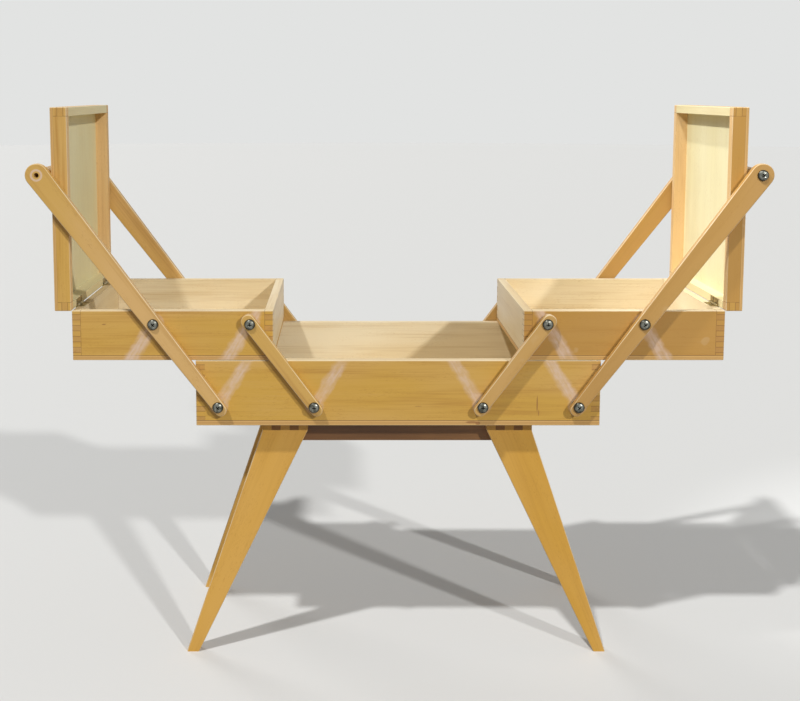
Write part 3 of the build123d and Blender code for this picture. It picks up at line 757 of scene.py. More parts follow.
def box_boards(body, ends, fingers, roots, seeds, stripes, marks, floor, **extra):
    """The four boards and the floor panel of the base or of a tray"""
    low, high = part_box(f"{body}_front_board")
    wall = high.y - low.y
    middle_x, half_x = (low.x + high.x) / 2, (high.x - low.x) / 2
    middle = (middle_x, 0.0, (low.z + high.z) / 2)
    half = (half_x - wall + SLACK, box_face - wall + SLACK, (high.z - low.z) / 2 + 10 * MM)
    cavity = (middle, half)
    shared = {"cavity": cavity, "rim": ("Z", 1.0, high.z), **extra}
    lines = ("Z", 1.0, low.z, *fingers)
    boards = []
    for number, end in enumerate(ENDS):
        boards.append(Board(
            f"{body}_{end}_board", GRAIN_X, seeds[0] + number, stripes=stripes,
            fingers=(*lines, "X", middle_x, half_x - wall, roots[0]),
            marks=marks if end == "front" else (), **shared,
        ))
    for number, end in enumerate(ends):
        boards.append(Board(
            f"{body}_{end}_end", GRAIN_Y, seeds[1] + number,
            fingers=(*lines, "Y", 0.0, box_face - wall, roots[1]), **shared,
        ))
    floor_low, floor_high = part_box(f"{body}_floor")
    plies = ("Z", 1.0, floor_low.z, floor_high.z - floor_low.z)
    boards.append(Board(
        f"{body}_floor", GRAIN_X, seeds[2], plies=plies, cavity=cavity, end_grain=0.3, **floor,
    ))
    return boards


def base_boards():
    """The boards of the base, with the marks of use on its front"""
    pivots = []
    for name in SIDES:
        for arm in ("long", "short"):
            place = joint_place(f"{name}_{arm}_arms_swing")
            pivots.append((place.x, place.z))
    front, bottom = -box_face, base_low.z
    scratches = [
        ((0.1446, front, bottom + 23 * MM), (0.9 * MM, 2 * MM, 10.5 * MM), 0.75),
        ((0.1462, front, bottom + 13.5 * MM), (0.8 * MM, 2 * MM, 4 * MM), 0.6),
        ((0.021, front, bottom + 20.5 * MM), (4.5 * MM, 2 * MM, 0.7 * MM), 0.4),
    ]
    dents = [
        ((0.077, front, bottom + 3.5 * MM), (8 * MM, 3 * MM, 1.6 * MM), 0.75),
        ((0.083, front, bottom + 2.5 * MM), (3 * MM, 3 * MM, 2.2 * MM), 0.8),
    ]
    return box_boards(
        "base", SIDES, BASE_FINGERS, (0.0, 1.0), (1.3, 3.7, 5.9),
        rubbed_stripes(pivots, 1, 6.6 * MM, 62 * MM), scratches, {"marks": dents},
    )


def tray_boards(name):
    """The boards of one tray; the outer face of its inner end is bare"""
    side = SIDES[name]
    low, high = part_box(f"{name}_tray_front_board")
    long_pivot = joint_place(f"{name}_tray_pivot")
    short_x = long_pivot.x - side * pivot_spacing
    pivots = [(long_pivot.x, long_pivot.z), (short_x, long_pivot.z)]
    stripes = rubbed_stripes(pivots, -1, 7.2 * MM, 60 * MM)
    stripes += rubbed_stripes([pivots[1]], 1, 5.6 * MM, 12 * MM)
    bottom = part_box(f"{name}_tray_floor")[0].z
    knot = ((-0.304, -box_face, bottom + 37.7 * MM), (2.4 * MM, 2 * MM, 0.9 * MM), 0.7)
    return box_boards(
        f"{name}_tray", ("outer", "inner"), TRAY_FINGERS, (1.0, 0.0),
        (7.1 + side * 2.3, 11.9 + side * 3.1, 15.3 + side), stripes,
        [knot] if name == "left" else (), {"stripes": stripes},
        cheek=(side, min(abs(low.x), abs(high.x))), age=SIDE_SHADE[name],
    )


def lid_boards(name):
    """The four frame boards and the panel of one open lid"""
    side = SIDES[name]
    low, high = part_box(f"{name}_lid_front_board")
    panel_low, panel_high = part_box(f"{name}_lid_panel")
    wall = high.y - low.y
    inner_x, frame_x = sorted((abs(low.x), abs(high.x)))
    outer_x = max(abs(panel_low.x), abs(panel_high.x))
    middle_z, half_z = (low.z + high.z) / 2, (high.z - low.z) / 2
    middle = (side * (inner_x + frame_x) / 2, 0.0, middle_z)
    half = ((frame_x - inner_x) / 2 + 1 * MM, box_face - wall + SLACK, half_z - wall + SLACK)
    lines = ("X", -side, -frame_x, *LID_FINGERS)
    shared = {"cavity": (middle, half), "end_grain": 0.3}
    framed = {**shared, "rim": ("X", -side, -inner_x)}
    boards = []
    for number, end in enumerate(ENDS):
        boards.append(Board(
            f"{name}_lid_{end}_board", GRAIN_Z, 19.4 + side * 1.7 + number, inside="aged",
            fingers=(*lines, "Z", middle_z, half_z - wall, 1.0), age=SIDE_SHADE[name], **framed,
        ))
    for number, end in enumerate(("hinge", "free")):
        boards.append(Board(
            f"{name}_lid_{end}_end", GRAIN_Y, 23.2 + side * 2.9 + number, inside="panel",
            fingers=(*lines, "Y", 0.0, box_face - wall, 0.0), streaks=0.6, **framed,
        ))
    plies = ("X", -side, -outer_x, outer_x - frame_x)
    boards.append(Board(
        f"{name}_lid_panel", GRAIN_Z, 27.8 + side, inside="panel", plies=plies, glue=0.5,
        streaks=0.35, **shared,
    ))
    return boards


# ---- Arms, bars and stand -------------------------------------------------------------------

LOST_SCREW = ("left", "front")      # the handle screw that is missing
LEG_LEAN = 0.8                      # part of a leg's width that its grain crosses on the way up


def arm_boards(name):
    """The arms and the handle bar of one side"""
    side = SIDES[name]
    grain = grain_along(side * math.sin(open_angle), math.cos(open_angle))
    low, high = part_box(f"{name}_handle_bar")
    head = ((low.x + high.x) / 2, 0.0, (low.z + high.z) / 2)
    boards = []
    for number, end in enumerate(ENDS):
        rings = [(head, 4.4 * MM, 6.0 * MM)] if (name, end) == LOST_SCREW else ()
        boards.append(Board(
            f"{name}_{end}_long_arm", grain, 31.1 + side * 1.9 + number, "arm", rings=rings,
            streaks=0.8, age=SIDE_SHADE[name],
        ))
        boards.append(Board(
            f"{name}_{end}_short_arm", grain, 35.7 + side * 2.2 + number, "arm",
            streaks=0.8, age=SIDE_SHADE[name] / 2,
        ))
    boards.append(Board(f"{name}_handle_bar", GRAIN_Y, 39.3 + side, "arm"))
    return boards


def stand_boards():
    """Legs, cross boards and rails"""
    boards = []
    for end in ENDS:
        for name, side in SIDES.items():
            low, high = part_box(f"{end}_{name}_leg")
            lean = (high.x - low.x) * LEG_LEAN
            grain = grain_along(-side * lean, high.z)
            seed = 43.1 + side * 1.3 + ENDS[end] * 2.7
            boards.append(Board(f"{end}_{name}_leg", grain, seed, "stand", streaks=0.6))
    # Painted shade: the cross boards and rails take the dark underside colours for the shade under the base
    # box.
    for name, side in SIDES.items():
        boards.append(Board(f"{name}_cross_board", GRAIN_Y, 51.9 + side, "under"))
    for end, sign in ENDS.items():
        boards.append(Board(f"{end}_rail", GRAIN_X, 55.2 + sign, "under"))
    return boards


# ---- Screws and washers ---------------------------------------------------------------------

SHARP_ANGLE = math.radians(34)
FIRST_TURN, NEXT_TURN = 0.7, 2.4    # radians; each screw's slot stands at its own angle


def metal_finish(name):
    """One of the two metals, made once"""
    settings = bpy.context.scene.sewing_box_metal
    clean, dark, roughness = {
        "dulled_steel": (settings.steel, settings.tarnish, 0.26),
        "dark_bronze": (settings.bronze_rubbed, settings.bronze, 0.34),
    }[name]
    made = bpy.data.materials.get(name)
    return made or metal_material(name, clean, dark, settings.grime, roughness)


def pivot_places(body, face):
    """Where the pivots of a box pass a level, as (place, facing) pairs"""
    if body == "base":
        joints = [joint_place(f"{name}_{arm}_arms_swing") for name in SIDES for arm in ("long", "short")]
    else:
        name = body.split("_")[0]
        outer = joint_place(f"{name}_tray_pivot")
        joints = [outer, outer - Vector((SIDES[name] * pivot_spacing, 0.0, 0.0))]
    return [
        (Vector((joint.x, sign * face, joint.z)), Vector((0.0, sign, 0.0)))
        for sign in ENDS.values() for joint in joints
    ]


def handle_screw_places(name):
    """Seats of the handle screws, without the lost one"""
    low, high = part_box(f"{name}_handle_bar")
    middle = (low + high) / 2
    return [
        (Vector((middle.x, sign * arm_face, middle.z)), Vector((0.0, sign, 0.0)))
        for end, sign in ENDS.items() if (name, end) != LOST_SCREW
    ]


def stand_screw_places(settings):
    """Heads of the screws that hold the cross boards, facing down"""
    low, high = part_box("stand_screws")
    reach = high.y - settings.head_radius
    return [
        (Vector((side * (high.x - settings.head_radius), y, low.z)), Vector((0.0, 0.0, -1.0)))
        for side in SIDES.values() for y in (-reach, 0.0, reach)
    ]


def hinge_screw_places(name, leaf, settings):
    """Heads of the screws in both hinge leaves of one kind"""
    along = (settings.leaf_start + settings.leaf_end) / 2
    places = []
    for turn in hinge_turns(name, leaf):
        for y in (-settings.screw_spacing / 2, settings.screw_spacing / 2):
            facing = turn.to_3x3() @ Vector((0.0, 0.0, -1.0))
            places.append((turn @ Vector((along, y, settings.leaf_sink)), facing))
    return places


def geometry_tree(name, labels):
    """A Geometry Nodes tree that takes points, sizes and a material"""
    tree = bpy.data.node_groups.new(name, "GeometryNodeTree")
    tree.interface.new_socket(name="Geometry", in_out="INPUT", socket_type="NodeSocketGeometry")
    for label in labels:
        tree.interface.new_socket(name=label, in_out="INPUT", socket_type="NodeSocketFloat")
    tree.interface.new_socket(name="Material", in_out="INPUT", socket_type="NodeSocketMaterial")
    tree.interface.new_socket(name="Geometry", in_out="OUTPUT", socket_type="NodeSocketGeometry")
    nodes = Nodes(tree)
    return nodes, nodes.add("NodeGroupInput").outputs


def place_on_points(nodes, given, piece):
    """Set the piece on every point, turned to face outwards, and end the tree"""
    facing = nodes.add("GeometryNodeInputNamedAttribute", {"Name": "facing"}, data_type="FLOAT_VECTOR")
    turn = nodes.add("GeometryNodeInputNamedAttribute", {"Name": "turn"}, data_type="FLOAT")
    aligned = nodes.add("FunctionNodeAlignRotationToVector", {"Vector": facing.outputs[0]}, axis="Z")
    spin = nodes.add("FunctionNodeAxisAngleToRotation", {"Axis": (0.0, 0.0, 1.0), "Angle": turn.outputs[0]})
    turned = nodes.add(
        "FunctionNodeRotateRotation", {0: aligned.outputs[0], 1: spin.outputs[0]}, rotation_space="LOCAL",
    )
    inputs = {"Points": given["Geometry"], "Instance": piece, "Rotation": turned.outputs[0]}
    placed = nodes.add("GeometryNodeInstanceOnPoints", inputs)
    real = nodes.add("GeometryNodeRealizeInstances", {0: placed.outputs[0]})
    inputs = {"Geometry": real.outputs[0], "Material": given["Material"]}
    finished = nodes.add("GeometryNodeSetMaterial", inputs)
    nodes.add("NodeGroupOutput", {0: finished.outputs[0]})
    return nodes.tree


def moved(nodes, geometry, offset, turn=(0.0, 0.0, 0.0)):
    """Geometry moved by an offset after a turn"""
    inputs = {"Geometry": geometry, "Translation": offset, "Rotation": turn}
    return nodes.add("GeometryNodeTransform", inputs).outputs[0]


def joined(nodes, *pieces):
    """Several pieces as one geometry"""
    join = nodes.add("GeometryNodeJoinGeometry")
    for piece in pieces:
        nodes.feed(join.inputs[0], piece)
    return join.outputs[0]


def straight_shank(nodes, radius, length, top):
    """Round shank with a small tip, from the given top down to -length"""
    depth = nodes.math("ADD", length, top)
    body = nodes.add(
        "GeometryNodeMeshCylinder",
        {"Vertices": 24, "Side Segments": 12, "Radius": radius, "Depth": depth},
    ).outputs[0]
    centre = nodes.math("MULTIPLY_ADD", length, -0.5, top * 0.5)
    lowered = moved(nodes, body, nodes.combined(z=centre))
    place = nodes.place()
    bottom = nodes.math("MULTIPLY", length, -1.0)
    tip = nodes.math("SUBTRACT", bottom, nodes.math("MULTIPLY", radius, -0.8))
    narrow = nodes.below(nodes.parts(place)["Z"], bottom, tip)
    scale = nodes.math("MULTIPLY_ADD", narrow, -0.5, 1.0)
    return nodes.placed(lowered, nodes.vector("MULTIPLY", place, nodes.combined(scale, scale, 1.0)))


def dome(nodes, given):
    """The head without its slot: a disc whose upper face is bent to a dome"""
    inputs = {
        "Vertices": 40, "Fill Segments": 9, "Radius": given["Head Radius"], "Depth": given["Head Rim"],
    }
    disc = nodes.add("GeometryNodeMeshCylinder", inputs, fill_type="TRIANGLE_FAN").outputs[0]
    place = nodes.place()
    flat = nodes.vector("MULTIPLY", place, (1.0, 1.0, 0.0))
    reach = nodes.vector("LENGTH", flat)
    angle = nodes.math("MULTIPLY", nodes.math("DIVIDE", reach, given["Head Radius"]), math.pi / 2)
    spread = nodes.product(nodes.math("SINE", angle), given["Head Radius"])
    spread = nodes.math("DIVIDE", spread, nodes.math("MAXIMUM", reach, 1e-9))
    height = nodes.parts(place)["Z"]
    rise = nodes.math("SUBTRACT", given["Head Height"], given["Head Rim"])
    rise = nodes.product(rise, nodes.math("COSINE", angle), nodes.math("GREATER_THAN", height, 0.0))
    height = nodes.math("ADD", nodes.math("MULTIPLY_ADD", given["Head Rim"], 0.5, height), rise)
    domed = nodes.vector("ADD", nodes.vector("MULTIPLY", flat, spread), nodes.combined(z=height))
    return nodes.placed(disc, domed)


def slot_cutter(nodes, given):
    """Block for one arm of the cross, narrower at its lower end"""
    depth = nodes.math("MULTIPLY", given["Slot Depth"], 2.0)
    size = nodes.combined(given["Slot Length"], given["Slot Width"], depth)
    block = nodes.add("GeometryNodeMeshCube", {"Size": size}).outputs[0]
    place = nodes.place()
    above = nodes.math("GREATER_THAN", nodes.parts(place)["Z"], 0.0)
    taper = nodes.combined(
        nodes.math("MULTIPLY_ADD", above, 1.3, 0.35), nodes.math("MULTIPLY_ADD", above, 0.5, 0.75), 1.0,
    )
    return nodes.placed(block, nodes.vector("MULTIPLY", place, taper))


def cut(nodes, solid, *cutters):
    """A solid with its slots cut out"""
    inputs = {"Mesh 1": solid}
    made = nodes.add("GeometryNodeMeshBoolean", inputs, operation="DIFFERENCE", solver="EXACT")
    for cutter in cutters:
        nodes.feed(made.inputs["Mesh 2"], cutter)
    return made.outputs[0]


def dome_screw_tree():
    """Dome-head screws with a cross slot that runs down to its middle"""
    sizes = "Head Radius,Head Rim,Head Height,Slot Length,Slot Width,Slot Depth,Shank Radius,Shank Length"
    nodes, given = geometry_tree("Dome Head Screws", sizes.split(","))
    wing, top = slot_cutter(nodes, given), nodes.combined(z=given["Head Height"])
    wings = [moved(nodes, wing, top, (0.0, 0.0, turn)) for turn in (0.0, math.pi / 2)]
    head = with_painted_shade(nodes, given, cut(nodes, dome(nodes, given), *wings))
    shank = straight_shank(nodes, given["Shank Radius"], given["Shank Length"], 0.3 * MM)
    return place_on_points(nodes, given, joined(nodes, head, shank))


def with_painted_shade(nodes, given, head):
    """The head with an attribute of painted shade: full in the slot, where the recess lies in shade, and
    towards its rim, where it paints a dark reflection
    """
    place = nodes.place()
    reach = nodes.vector("LENGTH", nodes.vector("MULTIPLY", place, (1.0, 1.0, 0.0)))
    reach = nodes.math("MINIMUM", nodes.math("DIVIDE", reach, given["Head Radius"]), 1.0)
    fall = nodes.math("SQRT", nodes.math("SUBTRACT", 1.0, nodes.math("MULTIPLY", reach, reach)))
    rise = nodes.math("SUBTRACT", given["Head Height"], given["Head Rim"])
    surface = nodes.math("MULTIPLY_ADD", rise, fall, given["Head Rim"])
    depth = nodes.math("SUBTRACT", surface, nodes.parts(place)["Z"])
    # Painted shade in the slot, and a painted dark reflection towards the rim.
    slot = nodes.step(depth, 0.1 * MM, 0.5 * MM)
    rim = nodes.product(nodes.step(reach, 0.6, 0.98), 0.9)
    inputs = {"Geometry": head, "Name": "grime", "Value": nodes.math("MAXIMUM", slot, rim)}
    return nodes.add("GeometryNodeStoreNamedAttribute", inputs, data_type="FLOAT").outputs[0]


def washer_tree():
    """Flat washers with rounded edges; each lies on its point"""
    nodes, given = geometry_tree("Washers", ["Outer Radius", "Hole Radius", "Thickness"])
    middle = nodes.math("MULTIPLY", nodes.math("ADD", given["Outer Radius"], given["Hole Radius"]), 0.5)
    width = nodes.math("SUBTRACT", given["Outer Radius"], given["Hole Radius"])
    ring = nodes.add("GeometryNodeCurvePrimitiveCircle", {"Resolution": 48, "Radius": middle})
    section = nodes.add(
        "GeometryNodeCurvePrimitiveQuadrilateral", {"Width": width, "Height": given["Thickness"]},
    )
    radius = nodes.math("MULTIPLY", given["Thickness"], 0.16)
    inputs = {"Curve": section.outputs[0], "Radius": radius, "Count": 2}
    rounded = nodes.add("GeometryNodeFilletCurve", inputs, mode="POLY")
    inputs = {"Curve": ring.outputs[0], "Profile Curve": rounded.outputs[0]}
    swept = nodes.add("GeometryNodeCurveToMesh", inputs).outputs[0]
    half = nodes.math("MULTIPLY", given["Thickness"], 0.5)
    raised = moved(nodes, swept, nodes.combined(z=half))
    return place_on_points(nodes, given, raised)


def wood_screw_tree():
    """Countersunk screws with a straight slot; the head is flush with its point"""
    sizes = ["Head Radius", "Head Depth", "Shank Radius", "Length"]
    nodes, given = geometry_tree("Wood Screws", sizes)
    radius, depth = given["Head Radius"], given["Head Depth"]
    cone = nodes.add("GeometryNodeMeshCone", {
        "Vertices": 32, "Radius Top": radius, "Radius Bottom": given["Shank Radius"], "Depth": depth,
    }).outputs[0]
    lowered = moved(nodes, cone, nodes.combined(z=nodes.math("MULTIPLY", depth, -1.0)))
    long, narrow = nodes.math("MULTIPLY", radius, 3.0), nodes.math("MULTIPLY", radius, 0.24)
    size = nodes.combined(long, narrow, depth)
    head = cut(nodes, lowered, nodes.add("GeometryNodeMeshCube", {"Size": size}).outputs[0])
    start = nodes.combined(z=nodes.math("MULTIPLY", depth, -0.6))
    length = nodes.math("MULTIPLY_ADD", depth, -0.6, given["Length"])
    shank = moved(nodes, straight_shank(nodes, given["Shank Radius"], length, 0.0), start)
    return place_on_points(nodes, given, joined(nodes, head, shank))


def grow(node, tree, places, values, body):
    """Run a tree on facing points and keep the result as a plain mesh"""
    mesh = bpy.data.meshes.new(node + "_made")
    mesh.from_pydata([place for place, facing in places], [], [])
    facing = mesh.attributes.new("facing", "FLOAT_VECTOR", "POINT")
    facing.data.foreach_set("vector", [part for place, towards in places for part in towards])
    turn = mesh.attributes.new("turn", "FLOAT", "POINT")
    turn.data.foreach_set("value", [FIRST_TURN + NEXT_TURN * index for index in range(len(places))])
    piece = new_object(node + "_made", mesh)
    modifier = piece.modifiers.new("grow", "NODES")
    modifier.node_group = tree
    for item in tree.interface.items_tree:
        if item.in_out == "INPUT" and item.name in values:
            modifier[item.identifier] = values[item.name]
    evaluated = piece.evaluated_get(bpy.context.evaluated_depsgraph_get())
    grown = bpy.data.meshes.new_from_object(evaluated)
    grown.materials.clear()
    grown.materials.append(values["Material"])
    piece.modifiers.remove(modifier)
    piece.data = grown
    soften(piece)
    settle(piece, node, body)


def soften(piece):
    """Smooth shading with sharp edges kept"""
    piece.data.shade_smooth()
    piece.data.set_sharp_from_angle(angle=SHARP_ANGLE)


def settle(piece, node, body):
    """Let a finished piece ride on its body in place of a CAD node"""
    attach(piece, body)
    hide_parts(node)


# ---- Hinges ---------------------------------------------------------------------------------

LEAF_CORNER = 1.3 * MM
PIN_CLEARANCE = 0.05 * MM
KNUCKLE_CHAMFER = 0.25 * MM


def hinge_turns(name, leaf):
    """Places of both hinges: x along the leaf, y along the pin and z into the wood"""
    side = SIDES[name]
    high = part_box(f"{name}_hinge_{leaf}_leaves")[1]
    reach = high.y - bpy.context.scene.sewing_box_hinges.leaf_length / 2
    if leaf == "tray":
        along, into = Vector((-side, 0.0, 0.0)), Vector((0.0, 0.0, -1.0))
    else:
        along, into = Vector((0.0, 0.0, 1.0)), Vector((side, 0.0, 0.0))
    turn = Matrix((along, into.cross(along), into)).transposed().to_4x4()
    pin = joint_place(f"{name}_lid_hinge")
    return [Matrix.Translation((pin.x, y, pin.z)) @ turn for y in (-reach, reach)]


def append(shape, other):
    """Add a finished bmesh to another one"""
    mesh = bpy.data.meshes.new("part")
    other.to_mesh(mesh)
    other.free()
    shape.from_mesh(mesh)
    bpy.data.meshes.remove(mesh)


def mesh_piece(name, shape, material):
    """A bmesh as an object with its material"""
    mesh = bpy.data.meshes.new(name)
    shape.to_mesh(mesh)
    shape.free()
    mesh.materials.append(material)
    piece = new_object(name, mesh)
    soften(piece)
    return piece


def ring(shape, points):
    """A closed loop of edges through the points"""
    verts = [shape.verts.new(point) for point in points]
    edges = [shape.edges.new((a, b)) for a, b in zip(verts, verts[1:] + verts[:1])]
    return verts, edges


def bridge(shape, first, second):
    """Quads between two rings of equal length"""
    count = len(first)
    for i in range(count):
        j = (i + 1) % count
        shape.faces.new((first[i], first[j], second[j], second[i]))


def full_turn(count):
    """Angles of points spread evenly on a circle"""
    return [2 * math.pi * i / count for i in range(count)]


def circle(x, y, radius, z, count=20):
    """Points round a circle at a height"""
    return [(x + radius * math.cos(a), y + radius * math.sin(a), z) for a in full_turn(count)]


def drilled_plate(shape, outline, holes, top, bottom):
    """Plate between two heights; each hole is (x, y, upper radius, lower radius)"""
    levels = []
    for level, index in ((top, 2), (bottom, 3)):
        rings = [ring(shape, [(x, y, level) for x, y in outline])]
        rings += [ring(shape, circle(hole[0], hole[1], hole[index], level)) for hole in holes]
        levels.append(rings)
    for (upper, _), (lower, _) in zip(*levels):
        bridge(shape, upper, lower)
    for rings in levels:
        edges = [edge for _, loop in rings for edge in loop]
        bmesh.ops.triangle_fill(shape, use_beauty=True, edges=edges)


def lathe_along_pin(shape, profile, middle, hollow=True, count=32):
    """Profile of (radius, offset along the pin) turned round the pin"""
    rings = []
    for radius, offset in profile:
        place = middle + offset
        points = [(radius * math.cos(a), place, radius * math.sin(a)) for a in full_turn(count)]
        rings.append(ring(shape, points)[0])
    for first, second in zip(rings, rings[1:] + rings[:1] * hollow):
        bridge(shape, first, second)
    if not hollow:
        shape.faces.new(rings[0])
        shape.faces.new(rings[-1])


def leaf_outline(settings, knuckles):
    """Outline of a leaf, with its necks to the knuckles and rounded outer corners"""
    half = settings.leaf_length / 2
    neck = settings.knuckle_radius * 0.7
    points = []
    for middle, size in knuckles:
        for x, y in (
            (settings.leaf_start, middle - size / 2), (neck, middle - size / 2),
            (neck, middle + size / 2), (settings.leaf_start, middle + size / 2),
        ):
            points.append((x, y))
    corners = []
    if points[0][1] > -half + 1e-6:
        corners.append((settings.leaf_start, -half))
    else:
        points = points[1:]
    if points[-1][1] < half - 1e-6:
        points.append((settings.leaf_start, half))
    else:
        points = points[:-1]
    steps = 6
    for sign in (1, -1):
        for step in range(steps + 1):
            angle = math.pi / 2 * step / steps
            away, lift = math.sin(angle), math.cos(angle)
            if sign < 0:
                away, lift = lift, away
            x = settings.leaf_end - LEAF_CORNER * (1 - away)
            points.append((x, sign * (half - LEAF_CORNER * (1 - lift))))
    return corners + points


def hinge_leaf(settings, leaf):
    """One leaf with its knuckles; the tray's leaf also holds the pin"""
    shape = bmesh.new()
    half = settings.leaf_length / 2
    if leaf == "tray":
        size = half - settings.centre_knuckle / 2 - settings.knuckle_gap
        knuckles = [(-half + size / 2, size), (half - size / 2, size)]
    else:
        knuckles = [(0.0, settings.centre_knuckle)]
    along = (settings.leaf_start + settings.leaf_end) / 2
    spacing = settings.screw_spacing / 2
    head, hole = settings.screw_head_radius * 1.02, settings.screw_radius * 1.1
    holes = [(along, y, head, hole) for y in (-spacing, spacing)]
    outline = leaf_outline(settings, knuckles)
    face = settings.leaf_sink
    drilled_plate(shape, outline, holes, face, face + settings.leaf_thickness)
    bore, outer = settings.pin_radius + PIN_CLEARANCE, settings.knuckle_radius
    for middle, size in knuckles:
        end = size / 2
        profile = [
            (bore, -end), (outer - KNUCKLE_CHAMFER, -end), (outer, -end + KNUCKLE_CHAMFER),
            (outer, end - KNUCKLE_CHAMFER), (outer - KNUCKLE_CHAMFER, end), (bore, end),
        ]
        lathe_along_pin(shape, profile, middle)
    if leaf == "tray":
        radius = settings.pin_radius
        tip = radius * 0.4
        profile = [(radius - tip, -half), (radius, tip - half), (radius, half - tip), (radius - tip, half)]
        lathe_along_pin(shape, profile, 0.0, hollow=False)
    bmesh.ops.recalc_face_normals(shape, faces=shape.faces)
    return shape


# ---- Operators ------------------------------------------------------------------------------

class SEWINGBOX_OT_base_box(bpy.types.Operator):
    """Finish the boards and the floor panel of the base box"""

    bl_idname = "sewingbox.base_box"
    bl_label = "Base Box"

    def execute(self, context):
        finish_boards(base_boards())
        return {"FINISHED"}


class SEWINGBOX_OT_trays(bpy.types.Operator):
    """Finish the boards and the floor panels of both trays"""

    bl_idname = "sewingbox.trays"
    bl_label = "Trays"

    def execute(self, context):
        for name in SIDES:
            finish_boards(tray_boards(name))
        return {"FINISHED"}


class SEWINGBOX_OT_lids(bpy.types.Operator):
    """Finish the frames and the panels of both lids"""

    bl_idname = "sewingbox.lids"
    bl_label = "Lids"

    def execute(self, context):
        for name in SIDES:
            finish_boards(lid_boards(name))
        return {"FINISHED"}


class SEWINGBOX_OT_arms(bpy.types.Operator):
    """Finish the arms and the handle bars"""

    bl_idname = "sewingbox.arms"
    bl_label = "Arms and Handle Bars"

    def execute(self, context):
        for name in SIDES:
            finish_boards(arm_boards(name))
        return {"FINISHED"}


class SEWINGBOX_OT_stand(bpy.types.Operator):
    """Finish the legs, the cross boards and the rails"""

    bl_idname = "sewingbox.stand"
    bl_label = "Stand"

    def execute(self, context):
        finish_boards(stand_boards())
        return {"FINISHED"}


class SEWINGBOX_OT_dome_screws(bpy.types.Operator):
    """Make the dome-head screws of the pivots and of the handle bars"""

    bl_idname = "sewingbox.dome_screws"
    bl_label = "Dome-Head Screws"

    def execute(self, context):
        settings = context.scene.sewing_box_screws
        material = metal_finish("dulled_steel")
        tree = dome_screw_tree()
        pivot_shank = head_seat - box_face + settings.box_shank
        handle_shank = arm_face - bar_end + settings.handle_shank
        jobs = [("base_pivot_screws", "base", pivot_places("base", head_seat), pivot_shank)]
        for name in SIDES:
            places = pivot_places(f"{name}_tray", head_seat)
            jobs.append((f"{name}_tray_pivot_screws", f"{name}_tray", places, pivot_shank))
            places = handle_screw_places(name)
            jobs.append((f"{name}_handle_screws", f"{name}_long_arms", places, handle_shank))
        for node, body, places, shank in jobs:
            values = {
                "Head Radius": settings.head_radius, "Head Rim": settings.head_rim,
                "Head Height": settings.head_height, "Slot Length": settings.slot_length,
                "Slot Width": settings.slot_width, "Slot Depth": settings.slot_depth,
                "Shank Radius": settings.shank_radius, "Shank Length": shank, "Material": material,
            }
            grow(node, tree, places, values, body)
        return {"FINISHED"}


class SEWINGBOX_OT_washers(bpy.types.Operator):
    """Make the washers between the arms and the boxes"""

    bl_idname = "sewingbox.washers"
    bl_label = "Washers"

    def execute(self, context):
        settings = context.scene.sewing_box_screws
        values = {
            "Outer Radius": settings.washer_radius, "Hole Radius": settings.washer_hole,
            "Thickness": washer_face - box_face, "Material": metal_finish("dulled_steel"),
        }
        tree = washer_tree()
        for body in ("base", "left_tray", "right_tray"):
            places = pivot_places(body, box_face)
            grow(f"{body}_pivot_washers", tree, places, values, body)
        return {"FINISHED"}


class SEWINGBOX_OT_wood_screws(bpy.types.Operator):
    """Make the countersunk screws of the stand and of the hinges"""

    bl_idname = "sewingbox.wood_screws"
    bl_label = "Wood Screws"

    def execute(self, context):
        stand, hinge = context.scene.sewing_box_stand, context.scene.sewing_box_hinges
        tree = wood_screw_tree()
        values = {
            "Head Radius": stand.head_radius, "Head Depth": stand.head_depth,
            "Shank Radius": stand.shank_radius, "Length": stand.screw_length,
            "Material": metal_finish("dulled_steel"),
        }
        grow("stand_screws", tree, stand_screw_places(stand), values, "base")
        values = {
            "Head Radius": hinge.screw_head_radius, "Head Depth": hinge.screw_head_depth,
            "Shank Radius": hinge.screw_radius, "Length": hinge.screw_length,
            "Material": metal_finish("dark_bronze"),
        }
        for name in SIDES:
            for leaf in ("tray", "lid"):
                places = hinge_screw_places(name, leaf, hinge)
                node = f"{name}_hinge_{leaf}_screws"
                grow(node, tree, places, values, f"{name}_{leaf}")
        return {"FINISHED"}


class SEWINGBOX_OT_hinges(bpy.types.Operator):
    """Make the butt hinges between the trays and the lids"""

    bl_idname = "sewingbox.hinges"
    bl_label = "Hinges"

    def execute(self, context):
        settings = context.scene.sewing_box_hinges
        material = metal_finish("dark_bronze")
        for name in SIDES:
            for leaf in ("tray", "lid"):
                shape = bmesh.new()
                for turn in hinge_turns(name, leaf):
                    one = hinge_leaf(settings, leaf)
                    bmesh.ops.transform(one, matrix=turn, verts=one.verts)
                    append(shape, one)
                node = f"{name}_hinge_{leaf}_leaves"
                piece = mesh_piece(node + "_made", shape, material)
                settle(piece, node, f"{name}_{leaf}")
        return {"FINISHED"}


class SEWINGBOX_OT_stage(bpy.types.Operator):
    """Lay the floor, set up the lights and place the camera"""

    bl_idname = "sewingbox.stage"
    bl_label = "Stage"

    def execute(self, context):
        context.scene.view_settings.view_transform = "Standard"
        settings = context.scene.sewing_box_stage
        lay_floor(settings)
        light_backdrop(settings)
        for name, towards in LIGHTS.items():
            softness = settings.back_softness if name == "back_light" else settings.softness
            add_light(name, getattr(settings, name), towards, softness)
        add_lid_lamp(settings.lid_lamp)
        place_camera()
        return {"FINISHED"}


